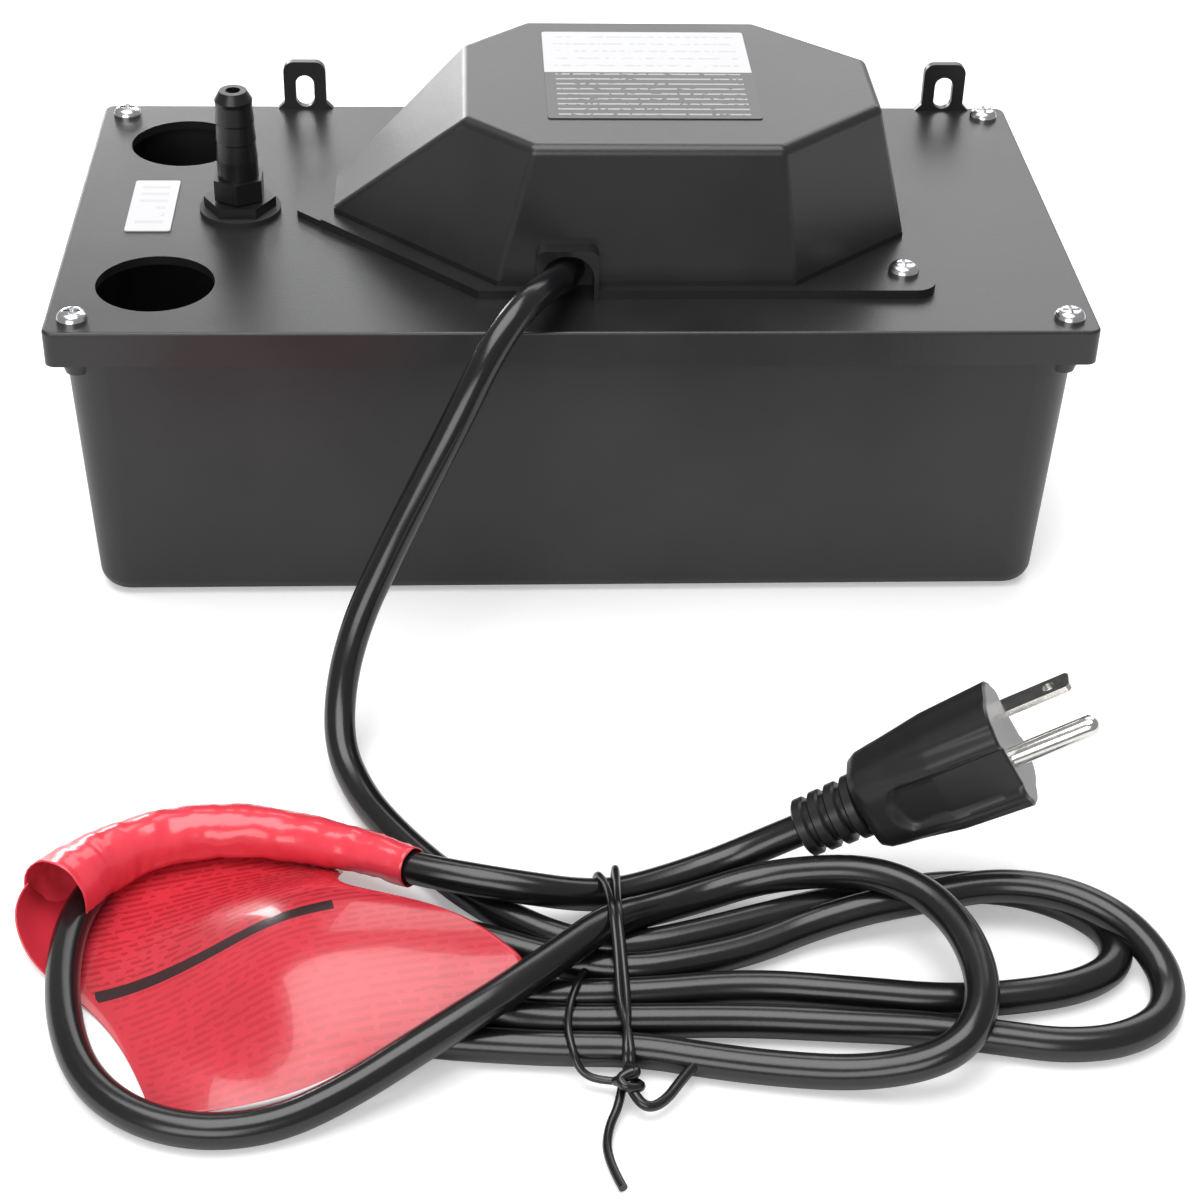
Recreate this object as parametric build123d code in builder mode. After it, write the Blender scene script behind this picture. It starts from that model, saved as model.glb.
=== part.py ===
from build123d import *

import os
from math import cos, radians, sin, sqrt, tan

# Condensate pump: a lidded tank with a motor-driven pump under a moulded cover.
# Millimetres. X runs along the tank, Y to the back, Z up, and the origin is the centre
# of the tank's footprint on the surface that it stands on.

# ---------------------------------------------------------------- driving dimensions
lid_length = 280.0
lid_width = 146.0
lid_top = 87.5
lid_thickness = 2.5
lid_corner = 3.0
lid_edge_round = 0.8
skirt_depth = 10.0
skirt_wall = 2.2

tank_wall = 2.5
tank_floor = 3.0
tank_draft = 2.36
tank_corner = 9.0
tank_bottom_round = 5.5
tank_to_skirt = 0.9
boss_radius = 4.2
boss_height = 9.0
boss_cone = 3.5
boss_tip_radius = 3.2

lid_screw_inset = 7.5
screw_radius = 2.0
screw_length = 13.0
screw_head_radius = 4.2
screw_head_height = 2.8
screw_hole_gap = 0.25
cross_recess_width = 0.9
cross_recess_span = 4.6
cross_recess_depth = 1.3

inlet_radius = 16.0
inlet_from_end = 27.0
inlet_spacing = 90.0

tab_width = 12.9
tab_thickness = 2.4
tab_height = 15.2
tab_corner = 3.2
tab_foot = 2.0
tab_slot_width = 5.6
tab_slot_height = 10.2
tab_slot_above_lid = 5.8
tab_positions = (-78.4, 120.2)

cover_wall = 2.2
cover_roof = 2.1
cover_height = 40.8
cover_round = 3.0
cover_step = 1.6
flange_thickness = 2.5
cover_middle_y = -3.0
cover_base_half_width = 48.5
cover_top_half_width = 43.8
cover_base_left = -66.4
cover_base_right = 93.5
cover_base_front_run = (-21.0, 60.0)
cover_base_left_run = (-7.0, 14.6)
cover_base_right_half = 19.0
cover_top_left = -29.0
cover_top_right = 84.5
cover_top_front_run = (-11.0, 55.0)
cover_top_left_half = 26.0
cover_top_right_half = 16.5
flange_margin = 2.7
flange_corner = 6.0
flange_tip = -77.0
flange_shoulder = 5.0
flange_tongue = 7.0
flange_tongue_step = 0.6
flange_right = 98.7
cover_screw_inset = 8.1
cover_screw_from_edge = 10.7

vent_count = 7
vent_width = 3.0
vent_height = 15.0
vent_pitch = 9.0
vent_middle_x = 22.0
vent_middle_z = 110.0

hood_middle_x = -2.0
hood_width = 16.8
hood_height = 14.5
hood_past_cover = 3.5
cord_exit_from_front = 5.5
hood_depth = 8.5
hood_wall = 1.3
hood_opening_height = 13.0

motor_x = 38.0
motor_y = -3.0
shaft_radius = 2.5
shaft_running_gap = 0.05
shaft_top = 123.5
stack_bottom = 93.0
stack_thickness = 16.0
stack_half_width = 25.0
stack_past_axis = 24.0
stack_leg = 12.0
stack_window = 9.0
stack_window_half = 13.5
rotor_radius = 15.0
rotor_gap = 0.4
bore_to_window = 3.6
coil_wrap = 5.0
coil_outer_wrap = 6.0
coil_clearance = 0.5
coil_round = 2.0

bracket_thickness = 2.0
bracket_to_coil = 0.5
bracket_boss_radius = 3.5
motor_screw_from_side = 4.0
motor_screw_radius = 1.5
motor_screw_head = 2.8
motor_screw_head_height = 2.0
motor_screw_grip = 5.0
bush_radius = 4.5
bush_length = 6.0
bush_flange = 1.0
bush_flange_radius = 5.6

fan_radius = 21.0
fan_hub_radius = 5.5
fan_height = 7.0
fan_blades = 7
fan_blade_thickness = 1.2
fan_above_bracket = 2.0

column_radius = 12.0
column_bore = 8.5
column_flange_radius = 17.0
column_flange_thickness = 2.0
column_hole_gap = 0.3
column_drain_radius = 3.0

volute_gap_to_floor = 5.0
inlet_plate_thickness = 2.0
inlet_eye_radius = 7.5
volute_height = 14.0
volute_roof = 2.5
volute_wall = 2.5
volute_clearance = 2.5
volute_lug_radius = 4.0
volute_screw_radius = 1.5
volute_lug_angles = (-45.0, 60.0, 225.0)
impeller_radius = 18.0
impeller_disc = 1.6
impeller_vane_height = 5.0
impeller_vane_thickness = 1.4
impeller_vanes = 6
impeller_hub_radius = 5.0
impeller_running_gap = 1.2
spigot_radius = 5.2
spigot_bore = 3.4
spigot_length = 14.0
spigot_start = 18.0

outlet_to_cover = 16.3
outlet_y = -0.5
valve_bore = 2.05
valve_neck_radius = 6.0
valve_neck_gap = 0.3
valve_foot_radius = 10.0
valve_foot_thickness = 3.0
valve_collar_corner = 7.7
valve_collar_bottom = 92.4
valve_collar_top = 98.5
valve_land_radius = 5.75
valve_land_length = 5.5
valve_tip_radius = 5.3
valve_tip_top = 124.0
valve_barb_count = 3
valve_barb_step = 0.35
gasket_radius = 11.5
gasket_thickness = 1.5
nut_corner_radius = 10.2
nut_height = 3.0
ball_radius = 3.5
ball_chamber_radius = 4.3
ball_lift = 3.0
ball_stop_gap = 0.25
ball_seat_gap = 0.05
seat_bore = 2.5
seat_body_radius = 8.0
seat_body_length = 12.0
seat_barb_length = 15.0
hose_wall = 1.6
hose_bend = 24.0
hose_swing_bend = 60.0
hose_swing_x = -30.0

float_x = -6.0
float_y = 31.0
float_length = 58.0
float_width = 32.0
float_height = 24.0
float_round = 5.0
float_bottom = 12.0
float_offset_x = -14.0
float_offset_y = 6.0
float_travel = 16.0
rod_radius = 1.5
rod_running_gap = 0.08
rod_collar_radius = 3.2
rod_collar_height = 2.0
rod_stop_gap = 0.2
guide_radius = 4.0
guide_top_above_lid = 3.5
guide_length = 12.0
guide_flange_radius = 6.0
guide_flange_thickness = 1.5

lever_arm = 34.0
lever_tilt = 13.5
lever_pivot_z = 104.5
lever_thickness = 1.2
lever_width = 6.0
lever_pad_radius = 3.6
lever_to_rod_gap = 0.3
pivot_radius = 1.25
pivot_running_gap = 0.06
pivot_boss_radius = 2.6
fork_gap = 0.4
fork_plate = 1.5
switch_length = 27.8
switch_width = 10.3
switch_height = 15.9
switch_bottom = 108.0
switch_past_button = 4.0
button_radius = 1.5
button_from_pivot = 6.0
button_travel = 2.8
button_gap = 0.2
button_side_gap = 0.08
button_sunk = 7.0
terminal_width = 6.3
terminal_thickness = 0.8
terminal_length = 5.0
bracket_plate = 1.5
bracket_foot = 7.0

cord_radius = 4.0
clamp_length = 10.0
clamp_width = 20.0
clamp_height = 11.0
wire_radius = 1.0
wire_bend = 2.0

relief_length = 17.0
relief_tail_radius = 6.6
relief_head_radius = 8.2
relief_groove_width = 2.2
relief_groove_depth = 1.6
relief_first_groove = 3.0
relief_groove_pitch = 4.6
relief_groove_count = 3
plug_length = 55.0
plug_heading = -5.0
plug_pitch = 32.0
plug_roll = -19.0
plug_face = (25.5, 31.0)
plug_waist = (24.5, 29.0)
plug_back = (18.0, 22.0)
plug_corner = 7.0
plug_back_corner = 6.5
plug_waist_at = 37.0
plug_grip_width = 15.0
plug_grip_depth = 1.1
plug_grip_start = 27.0
blade_spacing = 12.7
blade_width = 6.35
blade_thickness = 1.52
blade_length = 18.0
blade_hole_radius = 1.6
blade_hole_from_tip = 4.2
ground_offset = 11.9
ground_radius = 2.4
ground_length = 21.4
pin_row_offset = -4.8

tie_width = 2.4
tie_thickness = 1.0
tie_x = 5.0
tag_thickness = 0.8
tag_sleeve_wall = 0.9

label_thickness = 0.3
lid_label_size = (12.8, 32.5)
lid_label_to_outlet = 25.1
lid_label_y = 2.2
lid_label_corner = 0.8
cover_label_size = (58.0, 60.5)
cover_label_from_right = 62.5
cover_label_behind_middle = 4.2
cover_label_corner = 1.0

# ---------------------------------------------------------------- derived levels
lid_underside = lid_top - lid_thickness
tank_top_length = lid_length - 2 * (skirt_wall + tank_to_skirt)
tank_top_width = lid_width - 2 * (skirt_wall + tank_to_skirt)
draft_inset = lid_underside * tan(radians(tank_draft))
tank_foot_length = tank_top_length - 2 * draft_inset
tank_foot_width = tank_top_width - 2 * draft_inset
screw_x = lid_length / 2 - lid_screw_inset
screw_y = lid_width / 2 - lid_screw_inset
lid_screw_places = [(x, y) for x in (-screw_x, screw_x) for y in (-screw_y, screw_y)]
inlet_x = -lid_length / 2 + inlet_from_end
outlet_x = flange_tip - outlet_to_cover
inlet_places = [(inlet_x, -inlet_spacing / 2), (inlet_x, inlet_spacing / 2)]
tab_middle_y = lid_width / 2 - tab_thickness / 2

cover_front_y = cover_middle_y - cover_base_half_width
hood_front_y = cover_front_y - hood_past_cover

flange_top = lid_top + flange_thickness
slope_bottom = flange_top + cover_step
cover_top = lid_top + cover_height
cover_inner_top = cover_top - cover_roof
flange_half_width = cover_base_half_width + flange_margin
flange_front = cover_middle_y - flange_half_width
flange_back = cover_middle_y + flange_half_width
cover_screw_x = flange_right - cover_screw_inset
cover_screw_places = [
    (cover_screw_x, flange_front + cover_screw_from_edge),
    (cover_screw_x, flange_back - cover_screw_from_edge),
]

stack_top = stack_bottom + stack_thickness
window_from_axis = rotor_radius + rotor_gap + bore_to_window
stack_length = stack_past_axis + window_from_axis + stack_window + stack_leg
stack_left = motor_x + stack_past_axis - stack_length
bracket_half_x = window_from_axis + stack_window - coil_outer_wrap - bracket_to_coil
bracket_half_y = stack_half_width
motor_screw_x = bracket_half_x - bracket_boss_radius
motor_screw_y = bracket_half_y - motor_screw_from_side
bracket_low_top = stack_bottom - 1.0
bracket_low_bottom = bracket_low_top - bracket_thickness
bracket_high_bottom = stack_top + 2.0
bracket_high_top = bracket_high_bottom + bracket_thickness
motor_screw_places = [
    (motor_x + i * motor_screw_x, motor_y + j * motor_screw_y) for i in (-1, 1) for j in (-1, 1)
]

inlet_plate_bottom = tank_floor + volute_gap_to_floor
volute_bottom = inlet_plate_bottom + inlet_plate_thickness
volute_top = volute_bottom + volute_height
volute_chamber_radius = impeller_radius + volute_clearance
volute_radius = volute_chamber_radius + volute_wall
impeller_bottom = volute_bottom + impeller_running_gap
impeller_top = impeller_bottom + impeller_vane_height + impeller_disc
spigot_z = volute_bottom + (volute_height - volute_roof) / 2
spigot_y = motor_y + volute_chamber_radius - spigot_radius

valve_foot_bottom = lid_underside - valve_foot_thickness
ball_rest_z = valve_foot_bottom + sqrt(ball_radius**2 - seat_bore**2) + ball_seat_gap
chamber_top = ball_rest_z + ball_radius + ball_lift + ball_stop_gap
seat_barb_top = valve_foot_bottom - seat_body_length
seat_barb_bottom = seat_barb_top - seat_barb_length

float_top = float_bottom + float_height
guide_top = lid_top + guide_top_above_lid
guide_bottom = guide_top - guide_length
pivot_x = float_x + lever_arm
lever_drop = (lever_arm + rod_radius) * tan(radians(lever_tilt))
lever_half = lever_thickness / 2 / cos(radians(lever_tilt))
rod_top = lever_pivot_z - lever_drop - lever_half - lever_to_rod_gap
button_x = pivot_x - button_from_pivot
button_near_edge = button_from_pivot - button_radius
button_tip = lever_pivot_z - button_near_edge * tan(radians(lever_tilt)) + lever_half + button_gap

cord_exit = (-1.0, cover_front_y + cord_exit_from_front, 92.5)
plug_tail = (51.0, -190.4, 16.4)
clamp_back = cord_exit[1] + clamp_length
coil_front = motor_y - stack_window_half + coil_clearance
coil_back = motor_y + stack_window_half - coil_clearance
terminal_levels = (switch_bottom + 4, switch_bottom + 11)
terminal_tip = button_x - switch_past_button + switch_length + terminal_length
wire_way_x = motor_x + stack_past_axis + 3
neutral_x = stack_left - coil_outer_wrap / 2
switched_x = stack_left + stack_leg / 2
neutral_wire = [
    (neutral_x, clamp_back, cord_exit[2]),
    (neutral_x, (clamp_back + coil_front) / 2, cord_exit[2]),
    (neutral_x, (clamp_back + coil_front) / 2, stack_top - 5),
    (neutral_x, coil_front, stack_top - 5),
]
live_wire = [
    (4, clamp_back, lid_top + 4),
    (4, clamp_back + 4, lid_top + 4),
    (wire_way_x, clamp_back + 4, lid_top + 4),
    (wire_way_x, float_y, lid_top + 4),
    (wire_way_x, float_y, terminal_levels[0]),
    (terminal_tip, float_y, terminal_levels[0]),
]
switched_wire = [
    (switched_x, coil_back, stack_top + 3),
    (switched_x, float_y - switch_width / 2 - 2, stack_top + 3),
    (terminal_tip + 5, float_y - switch_width / 2 - 2, stack_top + 3),
    (terminal_tip + 5, float_y, terminal_levels[1]),
    (terminal_tip, float_y, terminal_levels[1]),
]
earth_wire_start = (stack_left + stack_leg / 4 + 1.5, clamp_back, cord_exit[2] + 3.5)

# ---------------------------------------------------------------- the cord's route
lead_route = [
    cord_exit,
    (-3, -58, 96),
    (-8, -70, 99.7),
    (-15, -81.5, 99.7),
    (-23, -92, 92.5),
    (-31, -100.5, 79),
    (-41.5, -108, 60.5),
    (-50, -113.5, 44.5),
    (-58, -121, 29.5),
    (-62.5, -132, 16.5),
    (-62.5, -146, 7.5),
    (-57, -160, 4),
    (-49.5, -173.5, 4),
    (-39.5, -187.5, 4),
    (-27, -201.5, 4),
    (-13, -212.5, 4),
    (0, -218, 4),
]
tail_route = [
    (-31, -249, 13),
    (-41, -256, 11.5),
    (-56, -264.5, 7),
    (-71, -271, 4),
    (-87, -273, 4),
    (-102, -268, 4),
    (-113.5, -257, 4.2),
    (-120, -241, 4.6),
    (-123, -222, 5),
    (-122, -204, 5),
    (-116, -190, 5),
    (-105, -181, 5),
    (-91, -177.5, 5),
    (-75, -180, 6),
    (-59, -187.5, 9),
    (-43, -198, 12),
    (-28, -203.5, 12.9),
    (-15, -205, 11.3),
    (-4, -203.5, 7.8),
    (6, -201, 5.5),
    (17.5, -196.5, 5.3),
    (29.5, -192, 6.3),
    (41, -190, 10.6),
    (51.5, -190.4, 16.7),
]

hank_right_lobe = [
    (6, -214.5, 8),
    (6, -247, 7),
    (62, -210, 10),
    (106, -212, 10),
    (119, -231, 16),
    (72, -252, 12),
]
hank_left_lobe = [(6, -218, 8), (6, -247, 7), (-42, -231, 22)]
hank_height = 18.0
hank_fold_height = 16.0
hank_round = 4.0
hank_eye = (57, -223.5)
hank_eye_length = 46.0
hank_eye_width = 5.0
hank_waist_bottom = 1.4
hank_waist_top = 11.2
hank_waist_back = -205.5
hank_waist_front = -254.0

tie_groove = 3.2
tie_gap = 0.3
tie_back_y = -194.0
tie_knot_radius = 2.6
tie_tail_ends = [(20.5, -262.0, 4.0), (1.5, -288.0, 1.4)]

tag_sleeve_span = (0.375, 0.7)
tag_front_y = -264.0
tag_depth = 90.0
tag_profile = [(-125, 6.0), (-100, 8.0), (-84, 11.5), (-66, 16.9), (-45, 18.0), (-15, 17.5)]
tag_outline = [
    (-111, -184),
    (-102, -177),
    (-91, -174),
    (-75, -176),
    (-62, -183),
    (-60, -200),
    (-58, -219),
    (-35, -222),
    (-24, -230),
    (-19, -238.5),
    (-38, -246),
    (-56, -256),
    (-72, -261),
    (-96, -261.5),
    (-107, -248),
    (-114, -232),
    (-115, -200),
]


def arc_radii(points):
    """Radius of the tangent arc at each corner of a route, as large as its two runs allow."""
    corners = [Vector(*p) for p in points]
    radii = []
    for before, here, after in zip(corners, corners[1:], corners[2:]):
        turn = radians((here - before).get_angle(after - here))
        shorter = min((here - before).length, (after - here).length)
        radii.append(0.45 * shorter / tan(turn / 2))
    return radii


tie_front_y = hank_waist_front - tie_gap - tie_thickness
tie_span = tie_back_y - tie_front_y
tie_middle_y = (tie_back_y + tie_front_y) / 2
tie_height = hank_waist_top + tie_gap + tie_thickness
hank_waist_middle = (hank_waist_back + hank_waist_front) / 2
hank_waist_width = hank_waist_back - hank_waist_front


def octagon(left, right, front_run, left_run, right_half, half_width):
    """Corners of the cover's outline at one level, from the left end round by the front."""
    front = cover_middle_y - half_width
    back = cover_middle_y + half_width
    return [
        (left, left_run[0]),
        (front_run[0], front),
        (front_run[1], front),
        (right, cover_middle_y - right_half),
        (right, cover_middle_y + right_half),
        (front_run[1], back),
        (front_run[0], back),
        (left, left_run[1]),
    ]


cover_base = octagon(
    cover_base_left,
    cover_base_right,
    cover_base_front_run,
    cover_base_left_run,
    cover_base_right_half,
    cover_base_half_width,
)
cover_peak = octagon(
    cover_top_left,
    cover_top_right,
    cover_top_front_run,
    (cover_middle_y - cover_top_left_half, cover_middle_y + cover_top_left_half),
    cover_top_right_half,
    cover_top_half_width,
)

# ---------------------------------------------------------------- tank
with BuildPart() as tank:
    with BuildSketch():
        RectangleRounded(tank_foot_length, tank_foot_width, tank_corner)
    extrude(amount=lid_underside, taper=-tank_draft)
    fillet(tank.edges().group_by(Axis.Z)[0], tank_bottom_round)
    with BuildSketch(Plane.XY.offset(tank_floor)):
        RectangleRounded(
            tank_foot_length - 2 * tank_wall + 2 * tank_floor * tan(radians(tank_draft)),
            tank_foot_width - 2 * tank_wall + 2 * tank_floor * tan(radians(tank_draft)),
            tank_corner - tank_wall,
        )
    extrude(amount=lid_underside - tank_floor, taper=-tank_draft, mode=Mode.SUBTRACT)
    fillet(
        tank.edges().filter_by_position(Axis.Z, tank_floor - 0.01, tank_floor + 0.01),
        tank_bottom_round - tank_floor,
    )
    with Locations(*[(x, y, lid_underside - boss_height / 2) for x, y in lid_screw_places]):
        Cylinder(boss_radius, boss_height)
    with Locations(*[(x, y, lid_underside - boss_height - boss_cone / 2) for x, y in lid_screw_places]):
        Cone(boss_tip_radius, boss_radius, boss_cone)
    with Locations(*[(x, y, lid_underside) for x, y in lid_screw_places]):
        Hole(screw_radius, depth=screw_length - lid_thickness + 1)

# ---------------------------------------------------------------- lid with its hanger tabs
with BuildPart() as lid:
    with BuildSketch(Plane.XY.offset(lid_top - skirt_depth)):
        RectangleRounded(lid_length, lid_width, lid_corner)
    extrude(amount=skirt_depth)
    fillet(lid.faces().sort_by(Axis.Z)[-1].edges(), lid_edge_round)
    with BuildSketch(Plane.XY.offset(lid_top - skirt_depth)):
        RectangleRounded(
            lid_length - 2 * skirt_wall, lid_width - 2 * skirt_wall, lid_corner - skirt_wall
        )
    extrude(amount=skirt_depth - lid_thickness, mode=Mode.SUBTRACT)
    for tab_x in tab_positions:
        with BuildSketch(Plane.XZ.offset(-lid_width / 2)):
            with Locations((tab_x, lid_underside + (tab_height + lid_thickness) / 2)):
                tab = Rectangle(tab_width, tab_height + lid_thickness)
            fillet(tab.vertices().group_by(Axis.Y)[-1], tab_corner)
            with Locations((tab_x, lid_top + tab_foot / 2)):
                Trapezoid(tab_width + 2 * tab_foot, tab_foot, 45)
            with Locations((tab_x, lid_top + tab_slot_above_lid)):
                SlotOverall(tab_slot_height, tab_slot_width, rotation=90, mode=Mode.SUBTRACT)
        extrude(amount=tab_thickness)
    with Locations(*[(x, y, lid_underside - motor_screw_grip / 2) for x, y in motor_screw_places]):
        Cylinder(bracket_boss_radius, motor_screw_grip)
    with Locations(*[(x, y, lid_underside - motor_screw_grip / 2) for x, y in cover_screw_places]):
        Cylinder(bracket_boss_radius, motor_screw_grip)
    with Locations(*[(x, y, lid_top) for x, y in inlet_places]):
        Hole(inlet_radius, depth=lid_thickness)
    with Locations(*[(x, y, lid_top) for x, y in lid_screw_places]):
        Hole(screw_radius + screw_hole_gap, depth=lid_thickness)
    with Locations(*[(x, y, lid_top) for x, y in motor_screw_places]):
        Hole(motor_screw_radius, depth=lid_thickness + motor_screw_grip)
    with Locations(*[(x, y, lid_top) for x, y in cover_screw_places]):
        Hole(screw_radius, depth=lid_thickness + motor_screw_grip)
    with Locations((motor_x, motor_y, lid_top)):
        Hole(column_radius + column_hole_gap, depth=lid_thickness)
    with Locations((outlet_x, outlet_y, lid_top)):
        Hole(valve_neck_radius + valve_neck_gap, depth=lid_thickness)
    with Locations((float_x, float_y, lid_top)):
        Hole(guide_radius, depth=lid_thickness)


def pan_head_screw(radius, length, head_radius, head_height):
    """One cross-recess pan-head screw standing on its shank, with the head's seat at z = 0."""
    recess = head_radius / screw_head_radius
    with BuildPart() as screw:
        Cylinder(radius, length, align=(Align.CENTER, Align.CENTER, Align.MAX))
        with BuildSketch(Plane.XZ):
            with BuildLine():
                Polyline((0, head_height), (0, 0), (head_radius, 0), (head_radius, head_height / 3))
                ThreePointArc(
                    (head_radius, head_height / 3),
                    (head_radius * 0.8, head_height * 0.8),
                    (head_radius * 0.35, head_height),
                )
                Line((head_radius * 0.35, head_height), (0, head_height))
            make_face()
        revolve(axis=Axis.Z)
        with Locations((0, 0, head_height)):
            with PolarLocations(0, 2, angular_range=180):
                Box(
                    cross_recess_span * recess,
                    cross_recess_width * recess,
                    2 * cross_recess_depth * recess,
                    mode=Mode.SUBTRACT,
                )
    return screw.part


lid_screw = pan_head_screw(screw_radius, screw_length, screw_head_radius, screw_head_height)
with BuildPart() as lid_screws:
    with Locations(*[(x, y, lid_top) for x, y in lid_screw_places]):
        add(lid_screw)

# ---------------------------------------------------------------- motor cover
with BuildPart() as motor_cover:
    with BuildSketch(Plane.XY.offset(slope_bottom)):
        Polygon(*cover_base, align=None)
    with BuildSketch(Plane.XY.offset(cover_top)):
        Polygon(*cover_peak, align=None)
    loft(ruled=True)
    fillet(motor_cover.edges().filter_by(lambda e: e.center().Z > slope_bottom + 1), cover_round)
    with BuildSketch(Plane.XY.offset(flange_top)):
        Polygon(*cover_base, align=None)
    extrude(amount=cover_step)
    with BuildSketch(Plane.XY.offset(lid_top)):
        Polygon(
            (flange_tip, cover_base_left_run[0] + flange_margin),
            (cover_base_front_run[0] - flange_shoulder, flange_front),
            (flange_right, flange_front),
            (flange_right, flange_back),
            (cover_base_front_run[0] - flange_shoulder, flange_back),
            (flange_tip, cover_base_left_run[1] + flange_margin),
            align=None,
        )
    extrude(amount=flange_thickness)
    fillet(
        motor_cover.edges().filter_by(Axis.Z).filter_by_position(Axis.Z, lid_top, flange_top).sort_by(Axis.X)[-2:],
        flange_corner,
    )
    with Locations((flange_tip + flange_tongue / 2, 0, flange_top)):
        Box(flange_tongue, lid_width / 2, 2 * flange_tongue_step, mode=Mode.SUBTRACT)
    with BuildSketch(Plane.XZ.offset(-hood_front_y)):
        with Locations((hood_middle_x, lid_top + hood_height / 2)):
            hood = Rectangle(hood_width, hood_height)
        fillet(hood.vertices().group_by(Axis.Y)[-1], hood_width / 6)
    extrude(amount=-hood_depth)
    with BuildSketch(Plane.XY.offset(slope_bottom)):
        Polygon(*cover_base, align=None)
        offset(amount=-cover_wall, kind=Kind.INTERSECTION, mode=Mode.REPLACE)
    with BuildSketch(Plane.XY.offset(cover_inner_top)):
        Polygon(*cover_peak, align=None)
        offset(amount=-cover_wall, kind=Kind.INTERSECTION, mode=Mode.REPLACE)
    loft(ruled=True, mode=Mode.SUBTRACT)
    with BuildSketch(Plane.XY.offset(lid_top)):
        Polygon(*cover_base, align=None)
        offset(amount=-cover_wall, kind=Kind.INTERSECTION, mode=Mode.REPLACE)
    extrude(amount=flange_thickness + cover_step, mode=Mode.SUBTRACT)
    with BuildSketch(Plane.XZ.offset(-hood_front_y + 1)):
        with Locations((hood_middle_x, lid_top + hood_opening_height / 2)):
            mouth = Rectangle(hood_width - 2 * hood_wall, hood_opening_height)
        fillet(mouth.vertices().group_by(Axis.Y)[-1], hood_width / 2 - hood_wall - 0.5)
    extrude(amount=-hood_depth - 2, mode=Mode.SUBTRACT)
    with BuildSketch(Plane.XZ.offset(-(cover_middle_y + cover_base_half_width + flange_margin))):
        with Locations((vent_middle_x, vent_middle_z)):
            with GridLocations(vent_pitch, 1, vent_count, 1):
                SlotOverall(vent_height, vent_width, rotation=90)
    extrude(amount=cover_base_half_width / 3, mode=Mode.SUBTRACT)
    with Locations(*[(x, y, flange_top) for x, y in cover_screw_places]):
        Hole(screw_radius + screw_hole_gap, depth=flange_thickness)

cover_screw = pan_head_screw(
    screw_radius,
    flange_thickness + lid_thickness + motor_screw_grip - 1,
    screw_head_radius,
    screw_head_height,
)
with BuildPart() as cover_screws:
    with Locations(*[(x, y, flange_top) for x, y in cover_screw_places]):
        add(cover_screw)

# ---------------------------------------------------------------- motor
with BuildPart() as stator_stack:
    with BuildSketch(Plane.XY.offset(stack_bottom)):
        with Locations((stack_left + stack_length / 2, motor_y)):
            Rectangle(stack_length, 2 * stack_half_width)
        with Locations((stack_left + stack_leg + stack_window / 2, motor_y)):
            Rectangle(stack_window, 2 * stack_window_half, mode=Mode.SUBTRACT)
        with Locations((motor_x, motor_y)):
            Circle(rotor_radius + rotor_gap, mode=Mode.SUBTRACT)
        with Locations(*motor_screw_places):
            Circle(motor_screw_radius + screw_hole_gap, mode=Mode.SUBTRACT)
    extrude(amount=stack_thickness)
    stack_outline = stator_stack.edges().filter_by(Axis.Z).sort_by(Axis.X)
    chamfer(stack_outline[:2] + stack_outline[-2:], stack_leg / 4)

with BuildPart() as motor_coil:
    with Locations((stack_left + stack_leg / 2, motor_y, stack_bottom + stack_thickness / 2)):
        Box(
            stack_leg + 2 * coil_outer_wrap,
            2 * (stack_window_half - coil_clearance),
            stack_thickness + 2 * coil_wrap,
        )
    fillet(motor_coil.edges().filter_by(Axis.Y), coil_round)
    with Locations((stack_left + stack_leg / 2, motor_y, stack_bottom + stack_thickness / 2)):
        Box(stack_leg, 2 * stack_window_half, stack_thickness, mode=Mode.SUBTRACT)

with BuildPart() as lower_bracket:
    with BuildSketch(Plane.XY.offset(bracket_low_bottom)):
        with Locations((motor_x, motor_y)):
            RectangleRounded(2 * bracket_half_x, 2 * bracket_half_y, bracket_boss_radius)
    extrude(amount=bracket_thickness)
    with BuildSketch(Plane.XY.offset(lid_top)):
        with Locations(*motor_screw_places):
            Circle(bracket_boss_radius)
    extrude(amount=stack_bottom - lid_top)
    with Locations((motor_x, motor_y, bracket_low_top)):
        Hole(bush_radius, depth=stack_bottom)
    with Locations(*[(x, y, stack_bottom) for x, y in motor_screw_places]):
        Hole(motor_screw_radius + screw_hole_gap, depth=stack_bottom - lid_top)

with BuildPart() as upper_bracket:
    with BuildSketch(Plane.XY.offset(bracket_high_bottom)):
        with Locations((motor_x, motor_y)):
            RectangleRounded(2 * bracket_half_x, 2 * bracket_half_y, bracket_boss_radius)
            with PolarLocations(bush_radius * 3, 4, start_angle=45):
                Circle(bush_radius * 0.8, mode=Mode.SUBTRACT)
    extrude(amount=bracket_thickness)
    with BuildSketch(Plane.XY.offset(stack_top)):
        with Locations(*motor_screw_places):
            Circle(bracket_boss_radius)
    extrude(amount=bracket_high_bottom - stack_top)
    with Locations((motor_x, motor_y, bracket_high_top)):
        Hole(bush_radius, depth=bracket_thickness)
    with Locations(*[(x, y, bracket_high_top) for x, y in motor_screw_places]):
        Hole(motor_screw_radius + screw_hole_gap, depth=bracket_high_top - stack_top)

motor_screw = pan_head_screw(
    motor_screw_radius,
    bracket_high_top - lid_underside + motor_screw_grip - 1,
    motor_screw_head,
    motor_screw_head_height,
)
with BuildPart() as motor_screws:
    with Locations(*[(x, y, bracket_high_top) for x, y in motor_screw_places]):
        add(motor_screw)

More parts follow.
